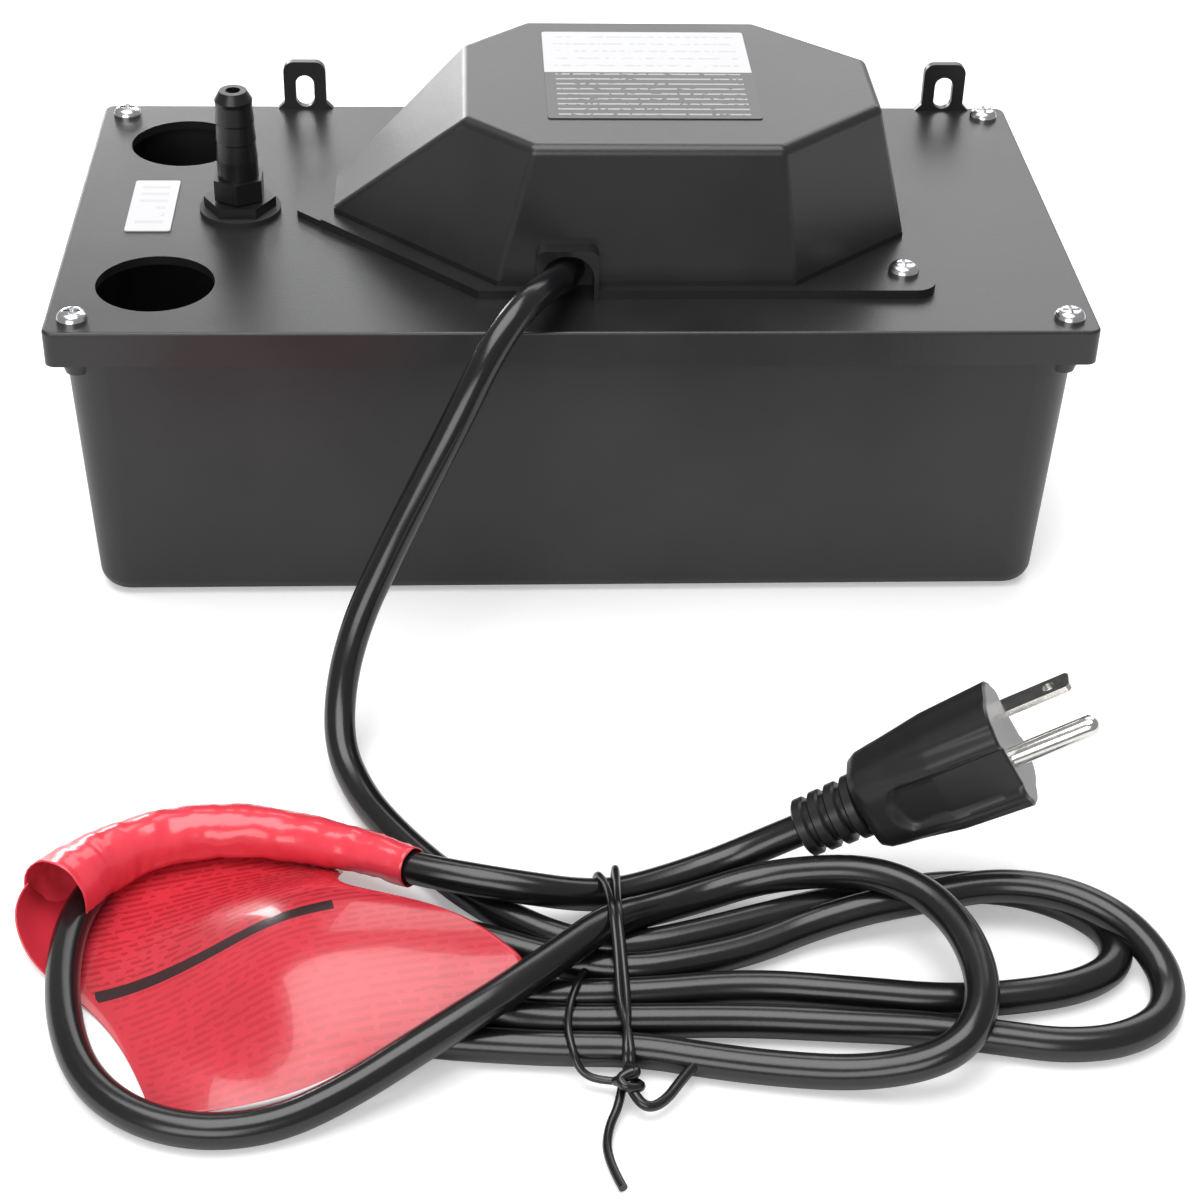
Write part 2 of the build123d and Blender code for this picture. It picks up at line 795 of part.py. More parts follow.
bush_low_z = bracket_low_top
bush_high_z = bracket_high_bottom
bush_pump_z = volute_top + bush_flange
with BuildPart() as bearing_bushes:
    for bush_z, bush_depth in (
        (bush_low_z, bracket_thickness),
        (bush_high_z + bracket_thickness, bracket_thickness),
        (bush_pump_z + bush_length, bush_length),
    ):
        with BuildSketch(Plane.XY.offset(bush_z - bush_depth)):
            with Locations((motor_x, motor_y)):
                Circle(bush_radius)
                Circle(shaft_radius + shaft_running_gap, mode=Mode.SUBTRACT)
        extrude(amount=bush_depth)

with BuildPart() as motor_shaft:
    with BuildSketch(Plane.XY.offset(impeller_bottom)):
        with Locations((motor_x, motor_y)):
            Circle(shaft_radius)
    extrude(amount=shaft_top - impeller_bottom)
    chamfer(motor_shaft.edges().group_by(Axis.Z)[-1], shaft_radius / 5)

with BuildPart() as rotor:
    with BuildSketch(Plane.XY.offset(stack_bottom)):
        with Locations((motor_x, motor_y)):
            Circle(rotor_radius)
            Circle(shaft_radius, mode=Mode.SUBTRACT)
    extrude(amount=stack_thickness)
    chamfer(rotor.edges().group_by(Axis.Z)[-1].sort_by(SortBy.RADIUS)[-1], rotor_gap)

fan_bottom = bracket_high_top + fan_above_bracket
with BuildPart() as cooling_fan:
    with BuildSketch(Plane.XY.offset(fan_bottom)):
        with Locations((motor_x, motor_y)):
            Circle(fan_hub_radius)
            Circle(shaft_radius, mode=Mode.SUBTRACT)
            with PolarLocations((fan_hub_radius + fan_radius) / 2, fan_blades):
                Rectangle(fan_radius - fan_hub_radius + 1, fan_blade_thickness)
    extrude(amount=fan_height)

# ---------------------------------------------------------------- pump
with BuildPart() as pump_column:
    with BuildSketch(Plane.XY.offset(volute_top)):
        with Locations((motor_x, motor_y)):
            Circle(column_radius)
            Circle(column_bore, mode=Mode.SUBTRACT)
    extrude(amount=lid_top - volute_top)
    with BuildSketch(Plane.XY.offset(lid_top)):
        with Locations((motor_x, motor_y)):
            Circle(column_flange_radius)
            Circle(column_bore, mode=Mode.SUBTRACT)
    extrude(amount=column_flange_thickness)
    with BuildSketch(Plane.XY.offset(bush_pump_z)):
        with Locations((motor_x, motor_y)):
            Circle(column_bore)
            Circle(bush_radius, mode=Mode.SUBTRACT)
    extrude(amount=bush_length)
    with Locations(Plane((motor_x, motor_y, lid_underside - column_radius), z_dir=(0, -1, 0))):
        Cylinder(column_drain_radius, 4 * column_radius, mode=Mode.SUBTRACT)

volute_lugs = [
    (
        motor_x + (volute_radius + 1) * cos(radians(a)),
        motor_y + (volute_radius + 1) * sin(radians(a)),
    )
    for a in volute_lug_angles
]
with BuildPart() as volute:
    with BuildSketch(Plane.XY.offset(volute_bottom)):
        with Locations((motor_x, motor_y)):
            Circle(volute_radius)
        with Locations(*volute_lugs):
            Circle(volute_lug_radius)
    extrude(amount=volute_height)
    with BuildSketch(Plane((motor_x - spigot_start, spigot_y, spigot_z), z_dir=(-1, 0, 0))):
        Circle(spigot_radius)
    extrude(amount=spigot_length)
    with BuildSketch(Plane.XY.offset(volute_bottom)):
        with Locations((motor_x, motor_y)):
            Circle(volute_chamber_radius)
    extrude(amount=volute_height - volute_roof, mode=Mode.SUBTRACT)
    with BuildSketch(Plane((motor_x, spigot_y, spigot_z), z_dir=(-1, 0, 0))):
        Circle(spigot_bore)
    extrude(amount=spigot_start + spigot_length, mode=Mode.SUBTRACT)
    with Locations((motor_x, motor_y, volute_top)):
        Hole(shaft_radius + impeller_running_gap, depth=volute_roof)
    with Locations(*[(x, y, volute_top) for x, y in volute_lugs]):
        Hole(volute_screw_radius, depth=volute_height)

with BuildPart() as inlet_plate:
    with BuildSketch(Plane.XY.offset(inlet_plate_bottom)):
        with Locations((motor_x, motor_y)):
            Circle(volute_radius)
            Circle(inlet_eye_radius, mode=Mode.SUBTRACT)
        with Locations(*volute_lugs):
            Circle(volute_lug_radius)
            Circle(volute_screw_radius, mode=Mode.SUBTRACT)
    extrude(amount=inlet_plate_thickness)

with BuildPart() as volute_screws:
    with Locations(*[(x, y, inlet_plate_bottom + volute_height / 2) for x, y in volute_lugs]):
        Cylinder(volute_screw_radius, volute_height)
    with Locations(*[(x, y, inlet_plate_bottom - 0.9) for x, y in volute_lugs]):
        Cylinder(motor_screw_head, 1.8)

with BuildPart() as impeller:
    with BuildSketch(Plane.XY.offset(impeller_bottom + impeller_vane_height)):
        with Locations((motor_x, motor_y)):
            Circle(impeller_radius)
    extrude(amount=impeller_disc)
    with BuildSketch(Plane.XY.offset(impeller_bottom)):
        with Locations((motor_x, motor_y)):
            Circle(impeller_hub_radius)
    extrude(amount=impeller_vane_height)
    with BuildSketch(Plane.XY.offset(impeller_bottom)):
        with BuildLine():
            vane = ThreePointArc(
                (motor_x + impeller_hub_radius * 0.8, motor_y),
                (motor_x + impeller_radius * 0.62, motor_y - impeller_radius * 0.18),
                (motor_x + impeller_radius * 0.72, motor_y - impeller_radius * 0.6),
            )
            offset(vane, amount=impeller_vane_thickness / 2)
        make_face()
    vane_solid = extrude(amount=impeller_vane_height)
    for turn in range(1, impeller_vanes):
        add(vane_solid.rotate(Axis((motor_x, motor_y, 0), (0, 0, 1)), turn * 360 / impeller_vanes))
    with Locations((motor_x, motor_y, impeller_top)):
        Hole(shaft_radius, depth=impeller_top - impeller_bottom)

# ---------------------------------------------------------------- outlet check valve
with BuildPart() as outlet_gasket:
    with BuildSketch(Plane.XY.offset(lid_top)):
        with Locations((outlet_x, outlet_y)):
            Circle(gasket_radius)
            Circle(valve_neck_radius, mode=Mode.SUBTRACT)
    extrude(amount=gasket_thickness)

with BuildPart() as check_valve_nut:
    with BuildSketch(Plane.XY.offset(lid_top + gasket_thickness)):
        with Locations((outlet_x, outlet_y)):
            RegularPolygon(nut_corner_radius, 6)
            Circle(valve_neck_radius, mode=Mode.SUBTRACT)
    extrude(amount=nut_height)

land_top = valve_collar_top + valve_land_length
barb_pitch = (valve_tip_top - land_top) / (valve_barb_count + 0.6)
with BuildPart() as check_valve_body:
    with BuildSketch(Plane((outlet_x, outlet_y, 0), x_dir=(1, 0, 0), z_dir=(0, -1, 0))):
        with BuildLine():
            barb_points = []
            for step in range(valve_barb_count):
                low = land_top + step * barb_pitch
                taper = (valve_land_radius - valve_tip_radius) * step / valve_barb_count
                barb_points += [
                    (valve_land_radius - taper, low),
                    (valve_land_radius - taper - valve_barb_step, low + barb_pitch * 0.9),
                ]
            Polyline(
                (0, valve_foot_bottom),
                (valve_foot_radius, valve_foot_bottom),
                (valve_foot_radius, lid_underside),
                (valve_neck_radius, lid_underside),
                (valve_neck_radius, valve_collar_top),
                (valve_land_radius, valve_collar_top),
                *barb_points,
                (valve_tip_radius, valve_tip_top - valve_tip_radius / 2),
                (valve_tip_radius * 0.72, valve_tip_top),
                (0, valve_tip_top),
                (0, valve_foot_bottom),
            )
        make_face()
    revolve(axis=Axis((outlet_x, outlet_y, 0), (0, 0, 1)))
    with BuildSketch(Plane.XY.offset(valve_collar_bottom)):
        with Locations((outlet_x, outlet_y)):
            RegularPolygon(valve_collar_corner, 6, rotation=30)
    extrude(amount=valve_collar_top - valve_collar_bottom)
    with BuildSketch(Plane.XY.offset(valve_foot_bottom)):
        with Locations((outlet_x, outlet_y)):
            Circle(ball_chamber_radius)
    extrude(amount=chamber_top - valve_foot_bottom, mode=Mode.SUBTRACT)
    with Locations((outlet_x, outlet_y, chamber_top)):
        Box(2 * ball_chamber_radius, 1.6, 3, mode=Mode.SUBTRACT)
        Box(1.6, 2 * ball_chamber_radius, 3, mode=Mode.SUBTRACT)
    with Locations((outlet_x, outlet_y, valve_tip_top)):
        Hole(valve_bore, depth=valve_tip_top - chamber_top)

with BuildPart() as check_valve_seat:
    with BuildSketch(Plane((outlet_x, outlet_y, 0), x_dir=(1, 0, 0), z_dir=(0, -1, 0))):
        with BuildLine():
            Polyline(
                (seat_bore, valve_foot_bottom),
                (valve_foot_radius, valve_foot_bottom),
                (valve_foot_radius, valve_foot_bottom - 3),
                (seat_body_radius, valve_foot_bottom - 5),
                (seat_body_radius, seat_barb_top),
                (spigot_radius, seat_barb_top),
                (spigot_radius, seat_barb_bottom + 2),
                (spigot_radius - 0.8, seat_barb_bottom),
                (seat_bore, seat_barb_bottom),
                (seat_bore, valve_foot_bottom),
            )
        make_face()
    revolve(axis=Axis((outlet_x, outlet_y, 0), (0, 0, 1)))

with BuildPart() as check_valve_ball:
    with Locations((outlet_x, outlet_y, ball_rest_z)):
        Sphere(ball_radius)

with BuildPart() as discharge_hose:
    with BuildLine():
        hose_line = FilletPolyline(
            (outlet_x, outlet_y, seat_barb_top),
            (outlet_x, outlet_y, spigot_z),
            (hose_swing_x, spigot_y, spigot_z),
            (motor_x - volute_radius - volute_lug_radius, spigot_y, spigot_z),
            radius=[hose_bend, hose_swing_bend],
        )
    with BuildSketch(Plane(hose_line @ 0, z_dir=hose_line % 0)):
        Circle(spigot_radius + hose_wall)
        Circle(spigot_radius, mode=Mode.SUBTRACT)
    sweep()

# ---------------------------------------------------------------- float and switch
with BuildPart() as float_body:
    with Locations((float_x + float_offset_x, float_y + float_offset_y, float_bottom + float_height / 2)):
        Box(float_length, float_width, float_height)
    fillet(float_body.edges(), float_round)
    with Locations((float_x, float_y, float_top)):
        Hole(rod_radius, depth=float_height / 2)

with BuildPart() as float_rod:
    with BuildSketch(Plane.XY.offset(float_top - float_height / 2)):
        with Locations((float_x, float_y)):
            Circle(rod_radius)
    extrude(amount=rod_top - float_top + float_height / 2)
    with BuildSketch(Plane.XY.offset(guide_top + rod_stop_gap)):
        with Locations((float_x, float_y)):
            Circle(rod_collar_radius)
    extrude(amount=rod_collar_height)
    with BuildSketch(Plane.XY.offset(guide_bottom - float_travel - rod_stop_gap - rod_collar_height)):
        with Locations((float_x, float_y)):
            Circle(rod_collar_radius)
    extrude(amount=rod_collar_height)

with BuildPart() as float_guide:
    with BuildSketch(Plane.XY.offset(guide_bottom)):
        with Locations((float_x, float_y)):
            Circle(guide_radius)
    extrude(amount=guide_length)
    with BuildSketch(Plane.XY.offset(lid_top)):
        with Locations((float_x, float_y)):
            Circle(guide_flange_radius)
    extrude(amount=guide_flange_thickness)
    with Locations((float_x, float_y, guide_top)):
        Hole(rod_radius + rod_running_gap, depth=guide_length)

lever_plane = Plane(
    (pivot_x, float_y, lever_pivot_z),
    x_dir=(-cos(radians(lever_tilt)), 0, -sin(radians(lever_tilt))),
    z_dir=(0, -1, 0),
)
with BuildPart() as switch_lever:
    with BuildSketch(lever_plane.offset(-lever_width / 2)):
        Circle(pivot_boss_radius)
        with Locations((lever_arm / 2, 0)):
            Rectangle(lever_arm, lever_thickness)
    extrude(amount=lever_width)
    with BuildSketch(Plane(lever_plane.origin, x_dir=lever_plane.x_dir, z_dir=lever_plane.y_dir).offset(-lever_thickness / 2)):
        with Locations((lever_arm, 0)):
            Circle(lever_pad_radius)
    extrude(amount=lever_thickness)
    with Locations(lever_plane):
        Cylinder(pivot_radius + pivot_running_gap, 2 * lever_width, mode=Mode.SUBTRACT)

fork_half = lever_width / 2 + fork_gap
with BuildPart() as lever_pin:
    with Locations(Plane((pivot_x, float_y, lever_pivot_z), z_dir=(0, -1, 0))):
        Cylinder(pivot_radius, 2 * (fork_half + fork_plate))

switch_left = button_x - switch_past_button
switch_right = switch_left + switch_length
switch_middle_x = (switch_left + switch_right) / 2
with BuildPart() as microswitch:
    with Locations((switch_middle_x, float_y, switch_bottom + switch_height / 2)):
        Box(switch_length, switch_width, switch_height)
    with BuildSketch(Plane.XZ.offset(-float_y - fork_half - fork_plate)):
        with Locations((pivot_x, (lever_pivot_z + switch_bottom) / 2)):
            Rectangle(2 * pivot_boss_radius, switch_bottom - lever_pivot_z)
        with Locations((pivot_x, lever_pivot_z)):
            Circle(pivot_boss_radius)
            Circle(pivot_radius, mode=Mode.SUBTRACT)
    extrude(amount=2 * (fork_half + fork_plate))
    with Locations((pivot_x, float_y, (lever_pivot_z + switch_bottom) / 2 - pivot_boss_radius / 2)):
        Box(
            2 * pivot_boss_radius,
            2 * fork_half,
            switch_bottom - lever_pivot_z + pivot_boss_radius,
            mode=Mode.SUBTRACT,
        )
    with Locations(*[(switch_right + terminal_length / 2, float_y, z) for z in terminal_levels]):
        Box(terminal_length, terminal_width, terminal_thickness)
    with Locations((button_x, float_y, switch_bottom + button_sunk / 2 + button_travel / 2)):
        Cylinder(
            button_radius + button_side_gap,
            button_sunk + button_travel + 2 * button_gap,
            mode=Mode.SUBTRACT,
        )

with BuildPart() as switch_button:
    with BuildSketch(Plane.XY.offset(button_tip)):
        with Locations((button_x, float_y)):
            Circle(button_radius)
    extrude(amount=switch_bottom + button_sunk - button_tip)
    fillet(switch_button.edges().group_by(Axis.Z)[0], button_radius / 3)

bracket_y = float_y + switch_width / 2
with BuildPart() as switch_bracket:
    with BuildSketch(Plane.YZ.offset(switch_left)):
        with BuildLine():
            Polyline(
                (bracket_y, switch_bottom + switch_height),
                (bracket_y, lid_top + bracket_plate),
                (bracket_y - bracket_foot, lid_top + bracket_plate),
                (bracket_y - bracket_foot, lid_top),
                (bracket_y + bracket_plate, lid_top),
                (bracket_y + bracket_plate, switch_bottom + switch_height),
                (bracket_y, switch_bottom + switch_height),
            )
        make_face()
    extrude(amount=switch_length)

# ---------------------------------------------------------------- supply wiring
clamp_x = cord_exit[0]
clamp_front = cord_exit[1]
with BuildPart() as cord_clamp:
    with BuildSketch(Plane.XZ.offset(-clamp_front)):
        with Locations((clamp_x, lid_top + clamp_height / 2)):
            clamp_face = Rectangle(clamp_width, clamp_height)
        fillet(clamp_face.vertices().group_by(Axis.Y)[-1], clamp_height / 4)
    extrude(amount=-clamp_length)

with BuildPart() as lead_wires:
    for wire_points, bend in (
        (neutral_wire, wire_bend),
        (live_wire, wire_bend),
        (switched_wire, wire_bend),
    ):
        with BuildLine() as wire_line:
            FilletPolyline(*wire_points, radius=bend)
        with BuildSketch(Plane(wire_line.line @ 0, z_dir=wire_line.line % 0)):
            Circle(wire_radius)
        sweep(path=wire_line.line)
    with Locations(Plane(earth_wire_start, z_dir=(0, 1, 0))):
        Cylinder(
            wire_radius,
            motor_y - stack_half_width - clamp_front - clamp_length,
            align=(Align.CENTER, Align.CENTER, Align.MIN),
        )

# ---------------------------------------------------------------- rating labels
with BuildPart() as lid_label:
    with BuildSketch(Plane.XY.offset(lid_top)):
        with Locations((outlet_x - lid_label_to_outlet, lid_label_y)):
            RectangleRounded(*lid_label_size, lid_label_corner)
    extrude(amount=label_thickness)

with BuildPart() as cover_label:
    with BuildSketch(Plane.XY.offset(cover_top)):
        with Locations(
            (cover_top_right - cover_label_from_right, cover_middle_y + cover_label_behind_middle)
        ):
            RectangleRounded(*cover_label_size, cover_label_corner)
    extrude(amount=label_thickness)

# ---------------------------------------------------------------- power cord
with BuildPart() as power_cord_lead:
    with BuildLine() as lead_line:
        FilletPolyline(*lead_route, radius=arc_radii(lead_route))
    with BuildSketch(Plane(lead_line.line @ 0, z_dir=lead_line.line % 0)):
        Circle(cord_radius)
    sweep(path=lead_line.line)

with BuildPart() as power_cord_tail:
    with BuildLine() as tail_line:
        FilletPolyline(*tail_route, radius=arc_radii(tail_route))
    with BuildSketch(Plane(tail_line.line @ 0, z_dir=tail_line.line % 0)):
        Circle(cord_radius)
    sweep(path=tail_line.line)

with BuildPart() as power_cord_hank:
    with BuildSketch():
        for x, y, radius in hank_right_lobe:
            with Locations((x, y)):
                Circle(radius)
        make_hull()
        with Locations(hank_eye):
            SlotOverall(hank_eye_length, hank_eye_width, mode=Mode.SUBTRACT)
    extrude(amount=hank_height)
    fillet(power_cord_hank.faces().sort_by(Axis.Z)[-1].outer_wire().edges(), hank_round)
    with BuildSketch():
        for x, y, radius in hank_left_lobe:
            with Locations((x, y)):
                Circle(radius)
        make_hull()
    extrude(amount=hank_fold_height)
    with Locations((tie_x, tie_middle_y, hank_height / 2)):
        Box(tie_groove, 2 * lid_width, hank_height, mode=Mode.SUBTRACT)
    with Locations((tie_x, hank_waist_middle, (hank_waist_bottom + hank_waist_top) / 2)):
        Box(tie_groove, hank_waist_width, hank_waist_top - hank_waist_bottom)

with BuildPart() as cord_tie:
    with BuildSketch(Plane.YZ.offset(tie_x - tie_width / 2)):
        with Locations((tie_middle_y, tie_height / 2)):
            RectangleRounded(tie_span, tie_height, 2 * tie_thickness)
            RectangleRounded(
                tie_span - 2 * tie_thickness,
                tie_height - 2 * tie_thickness,
                tie_thickness,
                mode=Mode.SUBTRACT,
            )
    extrude(amount=tie_width)
    knot_y = tie_front_y - tie_knot_radius * 0.7
    with Locations((tie_x, knot_y, tie_height / 2)):
        Sphere(tie_knot_radius)
    for tail_end in tie_tail_ends:
        with BuildLine() as twist_line:
            Line((tie_x, knot_y, tie_height / 2), tail_end)
        with BuildSketch(Plane(twist_line.line @ 0, z_dir=twist_line.line % 0)):
            Circle(tie_thickness)
        sweep(path=twist_line.line)

with BuildPart() as cord_tag:
    sleeve_line = tail_line.wire().trim(*tag_sleeve_span)
    with BuildSketch(Plane.XZ.offset(-tag_front_y)):
        with BuildLine():
            underside = Polyline(*tag_profile)
            upper_side = Polyline(*[(x, z + tag_thickness) for x, z in tag_profile])
            Line(underside @ 0, upper_side @ 0)
            Line(underside @ 1, upper_side @ 1)
        make_face()
    extrude(amount=-tag_depth)
    with BuildSketch():
        Polygon(*tag_outline, align=None)
    extrude(amount=3 * hank_height, mode=Mode.INTERSECT)
    with BuildSketch(Plane(sleeve_line @ 0, z_dir=sleeve_line % 0)):
        Circle(cord_radius + tag_sleeve_wall)
    sweep(path=sleeve_line)
    add(power_cord_tail.part, mode=Mode.SUBTRACT)

# ---------------------------------------------------------------- grounded plug
plug_axis = Vector(1, 0, 0).rotate(Axis.Y, -plug_pitch).rotate(Axis.Z, plug_heading)
plug_side = Vector(0, -1, 0).rotate(Axis.Z, plug_heading)
plug_across = plug_side.rotate(Axis((0, 0, 0), plug_axis), -plug_roll)
plug_plane = Plane(plug_tail, x_dir=plug_across, z_dir=plug_axis)
with BuildPart() as plug_body:
    with BuildSketch(plug_plane.offset(relief_length - 1)):
        RectangleRounded(*plug_back, plug_back_corner)
    with BuildSketch(plug_plane.offset(plug_waist_at)):
        RectangleRounded(*plug_waist, plug_corner)
    with BuildSketch(plug_plane.offset(plug_length)):
        RectangleRounded(*plug_face, plug_corner)
    loft(ruled=True)
    with BuildSketch(plug_plane):
        Circle(relief_tail_radius)
    with BuildSketch(plug_plane.offset(relief_length)):
        Circle(relief_head_radius)
    loft()
    for groove in range(relief_groove_count):
        with BuildSketch(plug_plane.offset(relief_first_groove + groove * relief_groove_pitch)):
            Circle(relief_head_radius + relief_groove_depth)
            Circle(cord_radius + relief_groove_depth / 2, mode=Mode.SUBTRACT)
        extrude(amount=relief_groove_width, mode=Mode.SUBTRACT)
    for side in (-1, 1):
        grip_level = side * (plug_waist[0] / 2 - plug_grip_depth)
        grip_at = plug_plane.from_local_coords((grip_level, 0, plug_grip_start))
        with BuildSketch(Plane(grip_at, x_dir=plug_axis, z_dir=plug_across * side)):
            with Locations(((plug_length - plug_grip_start) / 2, 0)):
                SlotOverall(plug_length - plug_grip_start - 3, plug_grip_width)
        extrude(amount=plug_grip_depth * 4, mode=Mode.SUBTRACT)

with BuildPart() as plug_blades:
    for side in (-1, 1):
        blade_plane = plug_plane.offset(plug_length)
        with BuildSketch(blade_plane):
            with Locations((pin_row_offset, side * blade_spacing / 2)):
                Rectangle(blade_width, blade_thickness)
        extrude(amount=blade_length)
    hole_at = plug_plane.offset(plug_length + blade_length - blade_hole_from_tip)
    with Locations(Plane(hole_at.from_local_coords((pin_row_offset, 0, 0)), z_dir=plug_plane.y_dir)):
        Cylinder(blade_hole_radius, 2 * blade_spacing, mode=Mode.SUBTRACT)

with BuildPart() as ground_pin:
    with BuildSketch(plug_plane.offset(plug_length)):
        with Locations((pin_row_offset + ground_offset, 0)):
            Circle(ground_radius)
    extrude(amount=ground_length)
    fillet(ground_pin.edges().sort_by(Axis(plug_tail, plug_axis))[-1], ground_radius * 0.6)

# ---------------------------------------------------------------- write the pieces
pieces = {
    "tank": tank,
    "lid": lid,
    "lid_screws": lid_screws,
    "motor_cover": motor_cover,
    "cover_screws": cover_screws,
    "stator_stack": stator_stack,
    "motor_coil": motor_coil,
    "lower_bracket": lower_bracket,
    "upper_bracket": upper_bracket,
    "motor_screws": motor_screws,
    "bearing_bushes": bearing_bushes,
    "motor_shaft": motor_shaft,
    "rotor": rotor,
    "cooling_fan": cooling_fan,
    "pump_column": pump_column,
    "volute": volute,
    "inlet_plate": inlet_plate,
    "volute_screws": volute_screws,
    "impeller": impeller,
    "discharge_hose": discharge_hose,
    "outlet_gasket": outlet_gasket,
    "check_valve_nut": check_valve_nut,
    "check_valve_body": check_valve_body,
    "check_valve_seat": check_valve_seat,
    "check_valve_ball": check_valve_ball,
    "float": float_body,
    "float_rod": float_rod,
    "float_guide": float_guide,
    "switch_lever": switch_lever,
    "lever_pin": lever_pin,
    "microswitch": microswitch,
    "switch_button": switch_button,
    "switch_bracket": switch_bracket,
    "cord_clamp": cord_clamp,
    "lead_wires": lead_wires,
    "lid_label": lid_label,
    "cover_label": cover_label,
    "power_cord_lead": power_cord_lead,
    "power_cord_hank": power_cord_hank,
    "power_cord_tail": power_cord_tail,
    "cord_tie": cord_tie,
    "cord_tag": cord_tag,
    "plug_body": plug_body,
    "plug_blades": plug_blades,
    "ground_pin": ground_pin,
}
os.makedirs("parts", exist_ok=True)
for name, piece in pieces.items():
    piece.part.label = name
    export_step(piece.part, f"parts/{name}.step")

for name, route in (("lead", lead_route), ("tail", tail_route)):
    print("cord arc radii,", name, [round(r, 1) for r in arc_radii(route)])
for name, tube, line in (
    ("lead", power_cord_lead, lead_line.wire()),
    ("tail", power_cord_tail, tail_line.wire()),
):
    section = 3.14159265 * cord_radius**2
    print("cord volume over section x length,", name, tube.part.volume / section / line.length)
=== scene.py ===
import math

import bmesh
import bpy
from mathutils import Matrix, Vector, noise


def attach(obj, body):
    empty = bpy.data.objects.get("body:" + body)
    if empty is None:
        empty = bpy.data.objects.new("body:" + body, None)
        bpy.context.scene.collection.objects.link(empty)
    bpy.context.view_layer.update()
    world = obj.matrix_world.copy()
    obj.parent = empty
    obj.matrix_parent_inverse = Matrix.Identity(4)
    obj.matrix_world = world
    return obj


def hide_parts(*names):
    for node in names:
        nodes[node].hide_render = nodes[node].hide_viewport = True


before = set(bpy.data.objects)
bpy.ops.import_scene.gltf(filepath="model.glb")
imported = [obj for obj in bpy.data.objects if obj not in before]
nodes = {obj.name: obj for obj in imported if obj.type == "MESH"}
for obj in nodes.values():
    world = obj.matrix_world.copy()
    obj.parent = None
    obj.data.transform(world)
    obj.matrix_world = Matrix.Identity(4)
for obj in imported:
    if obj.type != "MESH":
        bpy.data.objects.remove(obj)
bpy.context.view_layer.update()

MM = 0.001

# Print on the labels, in metres in the shared frame: where it lies, and how far apart its bars are.
LABEL_FIBRE = 900.0
LID_PRINT_X = (-0.1225, -0.1145)
LID_PRINT_Y = (-0.011, 0.015)
LID_BAR_PITCH = 0.0045
COVER_PRINT_X = (-0.004, 0.048)
COVER_PRINT_Y = (-0.0275, 0.0295)
COVER_SPLIT_Y = 0.0022
COVER_BACK_BARS_Y = 0.004
COVER_BACK_PITCH = 0.0052
COVER_FRONT_BARS_Y = -0.028
COVER_FRONT_PITCH = 0.0034

# The plug's line, from the tail of its strain relief, its turn about that line, and how many mm along
# it the face is.
PLUG_TAIL = Vector((51, -190.4, 16.4)) * MM
PLUG_ALONG = Vector((0.8448, -0.0739, 0.5299)).normalized()
PLUG_SIDE = Vector((-0.0872, -0.9962, 0)).normalized()
PLUG_ROLL = math.radians(8)
PLUG_FACE = 55


# ------------------------------------------------------------------ shader maths
def feed(tree, slot, value):
    """Give a socket a wire or a constant."""
    if isinstance(value, Wire):
        tree.links.new(value.socket, slot)
    else:
        slot.default_value = value


def add_node(tree, kind, settings=None, sockets=None, output=0):
    """Any node: its settings are set first, then the wires or constants of its sockets."""
    node = tree.nodes.new(kind)
    for name, value in (settings or {}).items():
        setattr(node, name, value)
    for key, value in (sockets or {}).items():
        feed(tree, node.inputs[key], value)
    return Wire(tree, node.outputs[output])


class Wire:
    """A node's output that can be added, multiplied and compared like a number."""

    def __init__(self, tree, socket):
        self.tree = tree
        self.socket = socket

    def _math(self, operation, *values):
        return add_node(self.tree, "ShaderNodeMath", {"operation": operation}, dict(enumerate(values)))

    def __add__(self, other):
        return self._math("ADD", self, other)

    def __radd__(self, other):
        return self._math("ADD", other, self)

    def __sub__(self, other):
        return self._math("SUBTRACT", self, other)

    def __rsub__(self, other):
        return self._math("SUBTRACT", other, self)

    def __mul__(self, other):
        return self._math("MULTIPLY", self, other)

    def __rmul__(self, other):
        return self._math("MULTIPLY", other, self)

    def __truediv__(self, other):
        return self._math("DIVIDE", self, other)

    def __rtruediv__(self, other):
        return self._math("DIVIDE", other, self)

    def __gt__(self, other):
        return self._math("GREATER_THAN", self, other)

    def __lt__(self, other):
        return self._math("LESS_THAN", self, other)

    def absolute(self):
        return self._math("ABSOLUTE", self)

    def fraction(self):
        return self._math("FRACT", self)

    def clamp(self):
        return add_node(self.tree, "ShaderNodeClamp", sockets={"Value": self})

    def ramp(self, low, high):
        """0 up to the low value, 1 from the high one, and even between them."""
        limits = {"Value": self, "From Min": low, "From Max": high}
        return add_node(self.tree, "ShaderNodeMapRange", sockets=limits)

    def parts(self):
        """The X, Y and Z of a vector."""
        kind = "ShaderNodeSeparateXYZ"
        return [add_node(self.tree, kind, sockets={0: self}, output=part) for part in "XYZ"]


